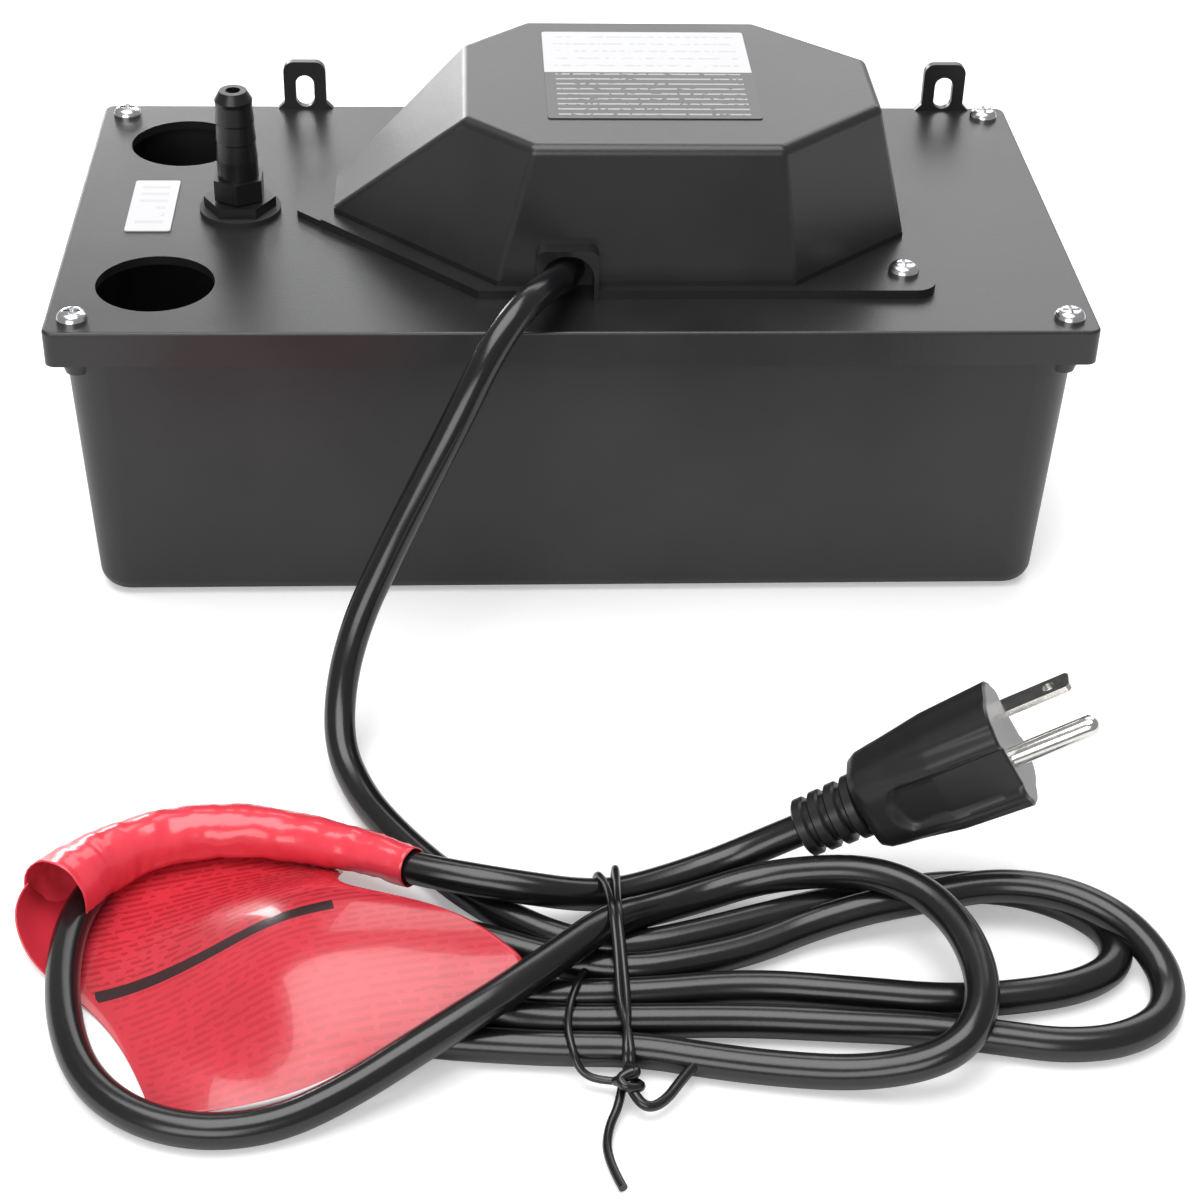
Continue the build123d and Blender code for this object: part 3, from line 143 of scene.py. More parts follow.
class Paint:
    """A material under construction, with the patterns that its surfaces use."""

    def __init__(self, name):
        self.material = bpy.data.materials.new(name)
        self.material.use_nodes = True
        self.tree = self.material.node_tree
        self.shader = self.tree.nodes["Principled BSDF"]
        self.place = add_node(self.tree, "ShaderNodeTexCoord", output="Object")
        self.x, self.y, self.z = self.place.parts()

    def noise(self, scale, detail=3.0, roughness=0.5):
        sockets = {"Vector": self.place, "Scale": scale, "Detail": detail, "Roughness": roughness}
        return add_node(self.tree, "ShaderNodeTexNoise", sockets=sockets)

    def own_map(self):
        """The piece's own UV map, as two numbers."""
        return add_node(self.tree, "ShaderNodeUVMap").parts()[:2]

    def mix(self, factor, low, high):
        """A colour between two others, by a factor from 0 to 1."""
        ends = [colour if isinstance(colour, Wire) else (*colour, 1.0) for colour in (low, high)]
        sockets = {0: factor, 6: ends[0], 7: ends[1]}
        return add_node(self.tree, "ShaderNodeMix", {"data_type": "RGBA"}, sockets, output=2)

    def bump(self, height, distance, strength=1.0):
        sockets = {"Strength": strength, "Distance": distance, "Height": height}
        self.set(Normal=add_node(self.tree, "ShaderNodeBump", sockets=sockets))

    def set(self, **values):
        """Feed the shader's own sockets; a colour is three numbers."""
        for key, value in values.items():
            if isinstance(value, tuple):
                value = (*value, 1.0)
            feed(self.tree, self.shader.inputs[key.replace("_", " ")], value)


# ------------------------------------------------------------------ finishes
def moulded_plastic(name, dark, light, roughness, grain=0.00003):
    paint = Paint(name)
    cloud = paint.noise(26.0, 4.0)
    speckle = paint.noise(1400.0, 2.0)
    paint.set(
        Base_Color=paint.mix(cloud.ramp(0.35, 0.65), dark, light),
        Roughness=roughness + 0.10 * (cloud - 0.5) + 0.05 * (speckle - 0.5),
    )
    paint.bump(speckle, grain, 0.5)
    return paint


def bright_metal(name, dark, light, roughness, scale=500.0):
    paint = Paint(name)
    cloud = paint.noise(scale, 3.0)
    paint.set(
        Base_Color=paint.mix(cloud, dark, light),
        Roughness=roughness + 0.15 * (cloud - 0.5),
        Metallic=1.0,
    )
    paint.bump(cloud, 0.00002, 0.4)
    return paint


def label_bars(along, start, pitch, low, high):
    """Mask of bars that repeat along one coordinate, each from the low to the high share of its pitch."""
    place = ((along - start) / pitch).fraction()
    return (place > low) * (place < high)


def finish_label(paint, colour, roughness):
    fibre = paint.noise(LABEL_FIBRE)
    paint.set(Base_Color=colour, Roughness=roughness + 0.1 * (fibre - 0.5))
    paint.bump(fibre, 0.00001, 0.5)
    return paint


def lid_label_film():
    """White film with plain broken bars where the print would be."""
    paint = Paint("lid label")
    words = paint.noise(70.0, 0.0)
    bars = label_bars(paint.y, LID_PRINT_Y[0], LID_BAR_PITCH, 0.35, 0.75)
    inside = (paint.y > LID_PRINT_Y[0]) * (paint.y < LID_PRINT_Y[1])
    inside = inside * (paint.x > LID_PRINT_X[0]) * (paint.x < LID_PRINT_X[1])
    print_mask = bars * inside * (words > 0.40)
    colour = paint.mix(print_mask.clamp() * 0.22, (0.55, 0.55, 0.57), (0.22, 0.22, 0.24))
    return finish_label(paint, colour, 0.36)


def cover_label_film():
    """White block at the back, black block in front, both with plain bars."""
    paint = Paint("cover label")
    words = paint.noise(620.0, 0.0)
    margin = (paint.x > COVER_PRINT_X[0]) * (paint.x < COVER_PRINT_X[1])
    margin = margin * (paint.y > COVER_PRINT_Y[0]) * (paint.y < COVER_PRINT_Y[1])
    dark_bars = label_bars(paint.y, COVER_BACK_BARS_Y, COVER_BACK_PITCH, 0.45, 0.65)
    dark_bars = dark_bars * (words > 0.46) * margin * 0.35
    pale_bars = label_bars(paint.y, COVER_FRONT_BARS_Y, COVER_FRONT_PITCH, 0.35, 0.62)
    pale_bars = pale_bars * (words > 0.36) * margin * 0.45
    colour = paint.mix(
        paint.y > COVER_SPLIT_Y,
        paint.mix(pale_bars, (0.030, 0.030, 0.031), (0.62, 0.62, 0.63)),
        paint.mix(dark_bars, (0.52, 0.52, 0.54), (0.22, 0.22, 0.23)),
    )
    return finish_label(paint, colour, 0.32)


black_abs = moulded_plastic("black ABS", (0.011, 0.011, 0.012), (0.017, 0.017, 0.018), 0.34, 0.00006)
black_abs.set(Specular_IOR_Level=0.6)
# The tank is the lid's black ABS painted a little lighter: painted light on its shaded front.
black_tank = moulded_plastic("black ABS tank", (0.014, 0.014, 0.015), (0.021, 0.021, 0.022), 0.38, 0.00006)
black_nylon = moulded_plastic("black nylon", (0.007, 0.007, 0.008), (0.011, 0.011, 0.012), 0.32)
cord_pvc = moulded_plastic("cord PVC", (0.005, 0.005, 0.006), (0.009, 0.009, 0.010), 0.22, 0.00002)
cord_pvc.set(Specular_IOR_Level=0.6)
plug_pvc = moulded_plastic("plug PVC", (0.010, 0.010, 0.011), (0.018, 0.018, 0.019), 0.33)
rubber = moulded_plastic("seal rubber", (0.010, 0.010, 0.010), (0.020, 0.020, 0.020), 0.62)
natural = moulded_plastic("natural nylon", (0.62, 0.60, 0.54), (0.70, 0.68, 0.62), 0.42)
foam = moulded_plastic("float foam", (0.66, 0.64, 0.58), (0.76, 0.74, 0.68), 0.62, 0.00008)
switch_case = moulded_plastic("switch case", (0.016, 0.016, 0.017), (0.028, 0.028, 0.029), 0.45)
vinyl = moulded_plastic("hose vinyl", (0.52, 0.54, 0.50), (0.64, 0.66, 0.61), 0.22)
tape = moulded_plastic("coil tape", (0.42, 0.30, 0.05), (0.58, 0.43, 0.09), 0.40)
zinc = bright_metal("zinc screws", (0.55, 0.56, 0.58), (0.80, 0.80, 0.81), 0.22)
steel = bright_metal("plated steel", (0.42, 0.42, 0.44), (0.60, 0.60, 0.61), 0.34)
laminate = bright_metal("electrical steel", (0.16, 0.16, 0.17), (0.28, 0.28, 0.29), 0.48)
nickel = bright_metal("nickel pins", (0.66, 0.65, 0.62), (0.86, 0.85, 0.82), 0.18)
bronze = bright_metal("sintered bronze", (0.36, 0.21, 0.08), (0.52, 0.33, 0.14), 0.46)
lid_film = lid_label_film()
cover_film = cover_label_film()

# The plug's face carries a painted sheen, paler than its sides, so its paint asks how far along the plug a
# place is.
plug_place = (plug_pvc.x, plug_pvc.y, plug_pvc.z)
along_plug = sum((wire - start) * way for wire, start, way in zip(plug_place, PLUG_TAIL, PLUG_ALONG))
face_sheen_mask = along_plug > (PLUG_FACE - 0.2) * MM
# Dark PVC on the sides, painted sheen on the face.
plug_pvc.set(Base_Color=plug_pvc.mix(face_sheen_mask, (0.014, 0.014, 0.015), (0.105, 0.105, 0.112)))

finishes = {
    black_tank: ["tank"],
    black_abs: ["lid", "motor_cover"],
    black_nylon: ["check_valve_body", "check_valve_nut", "check_valve_seat", "pump_column", "volute",
                  "inlet_plate"],
    zinc: ["lid_screws", "cover_screws", "motor_screws", "volute_screws"],
    steel: ["lower_bracket", "upper_bracket", "motor_shaft", "check_valve_ball", "float_rod", "switch_lever",
            "lever_pin", "switch_bracket"],
    laminate: ["stator_stack", "rotor"],
    bronze: ["bearing_bushes"],
    natural: ["cooling_fan", "impeller", "float_guide", "switch_button"],
    foam: ["float"],
    vinyl: ["discharge_hose"],
    tape: ["motor_coil"],
    rubber: ["outlet_gasket"],
    switch_case: ["microswitch", "cord_clamp"],
    cord_pvc: ["lead_wires", "power_cord_lead", "power_cord_hank", "power_cord_tail", "cord_tie"],
    plug_pvc: ["plug_body"],
    nickel: ["plug_blades", "ground_pin"],
    lid_film: ["lid_label"],
    cover_film: ["cover_label"],
}
for paint, names in finishes.items():
    for name in names:
        nodes[name].data.materials.clear()
        nodes[name].data.materials.append(paint.material)


# ------------------------------------------------------------------ the supply cord
CORD_RADIUS = 4.0 * MM

# The route, in mm, from the cover to the plug: down to the floor, three loops of the hank with the
# folds between them, and the last stretch that ends in the plug.
lead = [
    (-1, -46, 92.5), (-3, -58, 96), (-8, -70, 99.7), (-15, -81.5, 99.7), (-23, -92, 92.5),
    (-31, -100.5, 79), (-41.5, -108, 60.5), (-50, -113.5, 44.5), (-58, -121, 29.5), (-62.5, -132, 16.5),
    (-62.5, -146, 7.5), (-57, -160, 4), (-49.5, -173.5, 4), (-39.5, -187.5, 4), (-27, -201.5, 4),
    (-13, -212.5, 4), (0, -218, 4),
]
loop_c = [
    (12, -217.5, 4), (26, -213.5, 4), (41, -208.5, 4), (58, -203, 4), (76, -199.5, 4), (91, -198, 4),
    (105, -200.5, 4), (116, -207, 4), (123, -216, 4), (121.5, -226.5, 4), (112, -233, 4),
    (98, -236, 4), (80, -237.3, 4), (58, -234, 4), (34, -231, 4), (9, -233.5, 4),
]
fold_1 = [
    (-12, -233.5, 4), (-26, -232.5, 4), (-40, -235.5, 4), (-53, -236, 4), (-61, -227.5, 4),
    (-57.5, -216, 4), (-44, -210.5, 4), (-28, -213.5, 4), (-12, -221, 4),
]
loop_b = [
    (6, -226, 4), (22, -223, 4), (37, -218.5, 4), (51, -212, 5), (65, -209.5, 8), (80, -207.5, 9.5),
    (94, -205, 10.5), (107, -207, 11), (118, -212, 10.5), (127, -220, 8.5), (132.5, -231, 4.5),
    (129, -243.5, 4), (118, -250.5, 4), (104, -252, 4), (90, -249, 4), (74, -245.7, 4),
    (54, -244, 4), (33, -242, 4), (9, -241.7, 4),
]
fold_2 = [
    (-10, -241.5, 4), (-24, -241, 6), (-34, -237, 10.5), (-44, -227, 12.8), (-52, -216.5, 12.5),
    (-64, -217, 12.3), (-70, -227, 12.3), (-67, -238, 10.5), (-56, -244.5, 7.5), (-41, -247.5, 5),
    (-25, -248.5, 4), (-9, -250, 4),
]
loop_a = [
    (8, -250.5, 4), (24, -254.5, 4), (40, -257.5, 4), (56, -260, 5), (70, -261, 8.5),
    (79, -258.5, 12), (84.5, -250, 14), (86, -238, 15), (83.5, -225, 16), (77, -213, 16),
    (66, -205.5, 15.5), (53, -201.5, 12.5), (39, -199.5, 8.5), (26, -202.5, 6), (14, -208.5, 7.5),
    (3, -217, 12.3), (-9, -229.5, 13.3), (-21, -241.5, 14),
]
tail = [
    (-31, -249, 13), (-41, -256, 11.5), (-56, -264.5, 7), (-71, -271, 4), (-87, -273, 4),
    (-102, -268, 4), (-113.5, -257, 4.2), (-120, -241, 4.6), (-123, -222, 5), (-122, -204, 5),
    (-116, -190, 5), (-105, -181, 5), (-91, -177.5, 5), (-75, -180, 6), (-59, -187.5, 9),
    (-43, -198, 12), (-28, -203.5, 12.9), (-15, -205, 11.3), (-4, -203.5, 7.8), (6, -201, 5.5),
    (17.5, -196.5, 5.3), (29.5, -192, 6.3), (41, -190, 10.6), (51.5, -190.4, 16.7),
]


def spline_curve(name, points, radius, paint, resolution, bevel):
    """A round cord or wire through points in mm; the two last values are how finely it is divided."""
    data = bpy.data.curves.new(name, "CURVE")
    data.dimensions = "3D"
    data.bevel_depth = radius
    data.bevel_resolution = bevel
    data.use_fill_caps = True
    line = data.splines.new("NURBS")
    line.points.add(len(points) - 1)
    for point, place in zip(line.points, points):
        point.co = (*(c * MM for c in place), 1.0)
    line.order_u = 3
    line.use_endpoint_u = True
    data.resolution_u = resolution
    line.resolution_u = resolution
    data.materials.append(paint.material)
    obj = bpy.data.objects.new(name, data)
    bpy.context.scene.collection.objects.link(obj)
    return obj


route = lead + loop_c + fold_1 + loop_b + fold_2 + loop_a + tail
cord = spline_curve("power_cord", route, CORD_RADIUS, cord_pvc, resolution=10, bevel=7)
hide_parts("power_cord_lead", "power_cord_hank", "power_cord_tail")
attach(cord, "base")

# ------------------------------------------------------------------ wire tie
# Two windings over the whole hank, one over its front strands only, a knot in front and its two free
# ends, in mm.
ring_front = [
    (5.4, -194.5, 3), (5.4, -194.5, 10), (5.4, -203, 11.9), (5, -211, 14.9), (4.8, -219, 17),
    (5.4, -230, 13), (5.8, -243, 9.6), (5, -252, 9.4), (4.6, -257.5, 7.7), (5, -258, 2),
]
ring_back = [
    (1, -196, 3), (0.6, -196.5, 9), (2.6, -203, 11.4), (3.2, -211, 14.7), (3.4, -219, 17),
    (4, -230, 13), (4, -243, 9.6), (5.8, -252, 9.4), (5.8, -257.5, 7.7), (6, -258, 2),
]
ring_small = [
    (-3.5, -228, 6), (-4.6, -232, 8.4), (-7, -241, 9.7), (-8, -248, 9.3), (-7, -254, 7.6),
    (-5.4, -257.5, 4.4), (-1, -259, 3), (4, -259.5, 3.4),
]
knot = [
    (5, -257.5, 6), (8, -260.5, 7.5), (3, -262.5, 6.5), (2, -259.5, 3.5), (7, -259.5, 3),
    (8, -263.5, 5.5), (4, -265, 7), (2.4, -262, 7.4), (6, -261, 8),
]
end_right = [
    (4, -260, 6.5), (6, -265.5, 5), (9, -268, 3.6), (13, -265.5, 3.4), (17, -260, 4.4), (20.6, -255.6, 5),
]
end_down = [(4, -260, 5), (3, -266, 3.4), (0, -272, 2), (-0.6, -280, 1.4), (2.5, -288, 1.3)]
tie_pieces = [
    spline_curve(name, points, radius * MM, cord_pvc, resolution=6, bevel=3)
    for name, points, radius in (
        ("cord_tie_ring", ring_front, 0.95),
        ("cord_tie_ring_back", ring_back, 0.95),
        ("cord_tie_ring_small", ring_small, 0.9),
        ("cord_tie_knot", knot, 1.15),
        ("cord_tie_end_right", end_right, 1.2),
        ("cord_tie_end_down", end_down, 1.05),
    )
]
for piece in tie_pieces:
    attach(piece, "base")
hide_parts("cord_tie")

# ------------------------------------------------------------------ red tag
# The dark bar on the leaf, seen from above and in metres, the rows of fine print and the part of the
# leaf that carries them, as a share of its width from the curled left edge.
BAR_START = Vector((-0.1150, -0.2282))
BAR_END = Vector((-0.0607, -0.2171))
BAR_LENGTH = (BAR_END - BAR_START).length
BAR_WAY = (BAR_END - BAR_START).normalized()
BAR_HALF_WIDTH = 0.0018
PRINT_PITCH = 0.0021
PRINT_FROM_U = 0.2
FILM_THICKNESS = 0.3 * MM
CRINKLE_DEPTH = 0.42 * MM
CRINKLE_SCALE = 190.0
FINE_CRINKLE_SCALE = 430.0


def tag_finish(name, plain, shaded, printed):
    """Glossy red film; the printed one carries a plain dark bar and rows of fine bars, no letters, and a
    painted highlight along its front edge.
    """
    paint = Paint(name)
    cloud = paint.noise(38.0, 2.0)
    crease = paint.noise(240.0, 3.0)
    shade = cloud.ramp(0.3, 0.7) * 0.4
    colour = paint.mix(shade, plain, shaded)
    if printed:
        film_u, film_v = paint.own_map()
        from_start = (paint.x - BAR_START[0], paint.y - BAR_START[1])
        bar_along = from_start[0] * BAR_WAY[0] + from_start[1] * BAR_WAY[1]
        bar_off = from_start[1] * BAR_WAY[0] - from_start[0] * BAR_WAY[1]
        on_leaf = film_u > PRINT_FROM_U
        words = paint.noise(420.0, 0.0) > 0.42
        dark_bar = (bar_along > 0) * (bar_along < BAR_LENGTH) * on_leaf
        dark_bar = dark_bar * (bar_off.absolute() < BAR_HALF_WIDTH)
        rows = ((bar_off / PRINT_PITCH).fraction() > 0.5) * words * on_leaf
        rows = rows * (0.35 + 0.35 * (bar_off > 0))
        colour = paint.mix((shade + rows).clamp(), plain, shaded)
        colour = paint.mix(dark_bar, colour, (0.030, 0.010, 0.012))
        # Painted highlight: a pale line along the leaf's front edge, growing in width towards the right.
        painted_edge_highlight = film_v < 0.014 * film_u.ramp(0.40, 0.75)
        colour = paint.mix(painted_edge_highlight, colour, (0.80, 0.77, 0.77))
    paint.set(Base_Color=colour, Roughness=0.20 + 0.10 * cloud, Coat_Weight=0.35)
    paint.bump(cloud * 3.0 + crease * 0.3, 0.0004, 0.5)
    return paint


# The same red film in two tones: the roll round the strand carries a lighter copy of the leaf's red, as
# painted light.
tag_paint = tag_finish("red tag", (0.66, 0.036, 0.058), (0.42, 0.018, 0.028), True)
wrap_paint = tag_finish("red tag wrap", (0.84, 0.052, 0.082), (0.62, 0.034, 0.052), False)

# Rows from the wrapped strand to the front edge, each from the curled left edge to the right.
film_net = [
    [(-133.2, -199.5, 10.5), (-131.6, -197, 2.6), (-124, -192, 0.4), (-111, -184, 0.5), (-100, -179, 0.5),
     (-88, -177.5, 0.5), (-75, -180, 0.9), (-64, -185.5, 2.6), (-61, -188, 3.4), (-60, -190, 4)],
    [(-135, -202.5, 9.6), (-132, -201, 2.4), (-121, -199, 0.5), (-112, -194, 0.6), (-101, -189, 0.9),
     (-88, -187, 1.2), (-75, -189, 2.6), (-65, -193, 6.4), (-62, -195, 7.6), (-61, -197, 8.6)],
    [(-136, -208, 7.4), (-131, -207, 1.4), (-122, -207, 0.5), (-112, -204, 0.7), (-101, -199, 2.2),
     (-88, -197, 4.6), (-75, -199, 8.6), (-66, -202, 12.6), (-62, -204.5, 14), (-60, -207, 15.2)],
    [(-132.5, -216, 3.2), (-128, -215, 0.8), (-121, -215, 0.5), (-113, -213, 0.8), (-101, -210, 3.2),
     (-87, -208, 8.4), (-74, -209.5, 14.6), (-62, -212, 18.4), (-50, -214.5, 18.6), (-38, -216.5, 18)],
    [(-126, -223, 1.4), (-122, -224, 0.6), (-117, -225, 0.5), (-111, -225, 1), (-101, -223, 3.6),
     (-87, -222, 10.4), (-73, -222.5, 18.6), (-58, -223, 19.2), (-42, -223.5, 18.8), (-27, -223.5, 17.4)],
    [(-116, -231.5, 0.8), (-113, -233, 0.5), (-110, -235, 0.5), (-106, -236, 1.2), (-98, -236, 3.4),
     (-85, -236, 9.8), (-71, -236, 18.2), (-55, -235, 19), (-38, -233, 18), (-20, -230, 16)],
    [(-106.5, -244.5, 0.5), (-105, -246, 0.5), (-103, -247.5, 0.6), (-100, -249, 1.2), (-93, -249.5, 2.6),
     (-83, -250, 6.4), (-69, -249, 13), (-53, -245.5, 14.8), (-36, -240, 14.6), (-17.5, -232.5, 15.2)],
    [(-99.5, -261.5, 0.5), (-99, -263, 0.5), (-97.5, -264, 0.5), (-94, -264.6, 0.7), (-88, -264.8, 1.2),
     (-79, -264.6, 2.2), (-66, -263, 3.6), (-50.6, -257, 7.6), (-33.6, -247, 11), (-16, -236.5, 13)],
]


def mesh_piece(name, mesh, paint):
    data = bpy.data.meshes.new(name)
    mesh.to_mesh(data)
    mesh.free()
    for face in data.polygons:
        face.use_smooth = True
    data.materials.append(paint.material)
    obj = bpy.data.objects.new(name, data)
    bpy.context.scene.collection.objects.link(obj)
    return obj


def thin_film(piece):
    wall = piece.modifiers.new("film", "SOLIDIFY")
    wall.thickness = FILM_THICKNESS
    wall.offset = 0.0


film = bmesh.new()
film.loops.layers.uv.new("UVMap")
columns, rows = len(film_net[0]), len(film_net)
bmesh.ops.create_grid(film, x_segments=columns - 1, y_segments=rows - 1, size=0.5, calc_uvs=True)
for corner in film.verts:
    column = round((corner.co.x + 0.5) * (columns - 1))
    row = round((0.5 - corner.co.y) * (rows - 1))
    corner.co = Vector(film_net[row][column]) * MM
tag_film = mesh_piece("tag_film", film, tag_paint)
curve_of_film = tag_film.modifiers.new("smooth", "SUBSURF")
curve_of_film.levels = curve_of_film.render_levels = 4
curve_of_film.boundary_smooth = "PRESERVE_CORNERS"
thin_film(tag_film)

# The roll of film round the strand: the points of its middle line and its radius at each, in mm.
wrap_points = [
    (-126.5, -203, 9.6), (-124, -198.5, 9.1), (-118.8, -190.8, 8.2), (-112, -184.5, 7.6),
    (-103, -179.8, 7.3), (-91, -177.5, 7.3), (-75, -180, 7.8), (-59, -187.5, 9.8), (-50, -193, 11.2),
    (-43, -197.8, 12.2),
]
wrap_sizes = [9.0, 8.6, 7.7, 7.1, 6.8, 6.6, 6.1, 5.5, 5.0, 4.7]
wrap = spline_curve("tag_wrap_line", wrap_points, MM, wrap_paint, resolution=14, bevel=11)
wrap.data.use_fill_caps = False
for point, size in zip(wrap.data.splines[0].points, wrap_sizes):
    point.radius = size
wrap_mesh = bmesh.new()
wrap_mesh.from_mesh(bpy.data.meshes.new_from_object(wrap))
bpy.data.objects.remove(wrap)
bmesh.ops.recalc_face_normals(wrap_mesh, faces=wrap_mesh.faces)
wrap_mesh.normal_update()
for corner in wrap_mesh.verts:
    crinkle = noise.noise(corner.co * CRINKLE_SCALE) + 0.6 * noise.noise(corner.co * FINE_CRINKLE_SCALE)
    corner.co += corner.normal * (CRINKLE_DEPTH * crinkle)
tag_wrap = mesh_piece("tag_wrap", wrap_mesh, wrap_paint)
thin_film(tag_wrap)
for piece in (tag_film, tag_wrap):
    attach(piece, "base")
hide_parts("cord_tag")

# ------------------------------------------------------------------ plug
# Sizes in mm. A station is a distance from the plug's tail along its line. The blades and the ground
# pin stand to the two sides of that line, across, and the blades above and below it, up.
plug_across = PLUG_SIDE * math.cos(PLUG_ROLL) + PLUG_SIDE.cross(PLUG_ALONG) * math.sin(PLUG_ROLL)
plug_up = plug_across.cross(PLUG_ALONG)

# The body's half width and half height at some stations, and how square its section is.
BODY_SIZES = [(17, 8.6, 10.2), (19, 9.6, 11.2), (37, 12.1, 13.4), (54.3, 12.8, 14.3), (PLUG_FACE, 12.2, 13.7)]
BODY_STATIONS = [17, 18, 19] + [19 + 0.9 * i for i in range(1, 39)] + [54.3, 54.7, PLUG_FACE]
BODY_SIDES = 96
SQUARENESS = 2 / 3.4
SIDE_FADE_FROM = 0.35
SIDE_FADE_RUN = 0.2
RECESS_START = 23
RECESS_HALF_HEIGHT = 6.8
RECESS_DEPTH = 1.5
RECESS_ROUND_END = 0.09
RECESS_SIDE_SLOPE = 1.6
RECESS_END_SLOPE = 2.2
FLUTE_START = 22
FLUTE_RUN_IN = 6
FLUTE_UP = 10.4
FLUTE_DEPTH = 0.7
FLUTE_HALF_WIDTH = 1.3
TOP_FLUTE_DEPTH = 0.6
TOP_FLUTE_HALF_WIDTH = 2.4

RELIEF_MOUTH = 5.0
RELIEF_NECK = 5.9
RELIEF_PITCH = 4.4
RELIEF_RADII = [7.3, 7.5, 7.7, 8.0]
# One raised ring of the relief: how far along it, and how much lower than its top.
RELIEF_RING = [(0, 0.7), (0.5, 0), (2.5, 0), (3.0, 0.6)]
RELIEF_SIDES = 40

PIN_ROOT = 53.5
BLADE_TIP = 73
BLADE_ACROSS = -4.8
BLADE_UP = 6.35
BLADE_HALF_WIDTH = 3.175
BLADE_HALF_THICKNESS = 0.76
BLADE_TIP_HALF_WIDTH = 2.2
BLADE_TIP_BEVEL = 0.8
BLADE_HOLE_STATION = 67.9
BLADE_HOLE_RADIUS = 1.6
BLADE_HOLE_SIDES = 24
GROUND_ACROSS = 7.1
GROUND_PROFILE = [(PIN_ROOT, 2.4), (74.0, 2.4), (75.2, 2.1), (76.0, 1.5), (76.4, 0.7)]
GROUND_SIDES = 32


def plug_point(station, across, up):
    return PLUG_TAIL + (PLUG_ALONG * station + plug_across * across + plug_up * up) * MM


def smooth_step(value):
    value = min(max(value, 0.0), 1.0)
    return value * value * (3 - 2 * value)


def body_size(station):
    """The body's half width and half height at a station."""
    for (near, near_across, near_up), (far, far_across, far_up) in zip(BODY_SIZES, BODY_SIZES[1:]):
        if station <= far:
            break
    part = (station - near) / (far - near)
    return near_across + part * (far_across - near_across), near_up + part * (far_up - near_up)


def body_place(station, angle):
    """A place on the body: a rounded square with a thumb recess on both broad sides and shallow flutes."""
    half_across, half_up = body_size(station)
    cosine, sine = math.cos(angle), math.sin(angle)
    across = math.copysign(abs(cosine) ** SQUARENESS, cosine) * half_across
    up = math.copysign(abs(sine) ** SQUARENESS, sine) * half_up
    broad_side = smooth_step((abs(cosine) - SIDE_FADE_FROM) / SIDE_FADE_RUN)
    narrow_side = smooth_step((abs(sine) - SIDE_FADE_FROM) / SIDE_FADE_RUN)
    recess_start = RECESS_START + RECESS_ROUND_END * up * up
    recess = smooth_step((RECESS_HALF_HEIGHT - abs(up)) / RECESS_SIDE_SLOPE)
    recess *= smooth_step((station - recess_start) / RECESS_END_SLOPE)
    fluted = smooth_step((station - FLUTE_START) / FLUTE_RUN_IN)
    flute = fluted * math.exp(-(((abs(up) - FLUTE_UP) / FLUTE_HALF_WIDTH) ** 2))
    top_flute = fluted * math.exp(-((across / TOP_FLUTE_HALF_WIDTH) ** 2))
    across -= math.copysign((RECESS_DEPTH * recess + FLUTE_DEPTH * flute) * broad_side, cosine)
    up -= math.copysign(TOP_FLUTE_DEPTH * top_flute * narrow_side, sine)
    return plug_point(station, across, up)


def body_shell(mesh):
    """The body: a cylinder divided at each station, with every place on it moved to where it belongs."""
    bmesh.ops.create_cone(mesh, cap_ends=True, segments=BODY_SIDES, radius1=1, radius2=1, depth=1)
    long_edges = [edge for edge in mesh.edges if edge.verts[0].co.z * edge.verts[1].co.z < 0]
    last = len(BODY_STATIONS) - 1
    bmesh.ops.subdivide_edges(mesh, edges=long_edges, cuts=last - 1)
    for corner in mesh.verts:
        station = BODY_STATIONS[round((corner.co.z + 0.5) * last)]
        corner.co = body_place(station, math.atan2(corner.co.y, corner.co.x))


def turned(mesh, profile, across, sides):
    """A solid turned about a line along the plug, from the stations and radii of its profile."""
    corners = [mesh.verts.new(plug_point(station, across + radius, 0)) for station, radius in profile]
    edges = [mesh.edges.new(pair) for pair in zip(corners, corners[1:])]
    bmesh.ops.spin(
        mesh,
        geom=corners + edges,
        cent=plug_point(0, across, 0),
        axis=PLUG_ALONG,
        angle=2 * math.pi,
        steps=sides,
        use_merge=True,
    )
    bmesh.ops.holes_fill(mesh, edges=mesh.edges)


def strain_relief(mesh):
    """A sleeve with four raised rings, each a little larger than the one before it."""
    profile = [(0, RELIEF_MOUTH)]
    for i, radius in enumerate(RELIEF_RADII):
        start = i * RELIEF_PITCH
        profile += [(start + along, radius - drop) for along, drop in RELIEF_RING]
        ring_end = profile[-1][0]
        profile += [(ring_end, RELIEF_NECK), (start + RELIEF_PITCH, RELIEF_NECK)]
    turned(mesh, profile, 0, RELIEF_SIDES)


def ground_pin(mesh):
    turned(mesh, GROUND_PROFILE, GROUND_ACROSS, GROUND_SIDES)


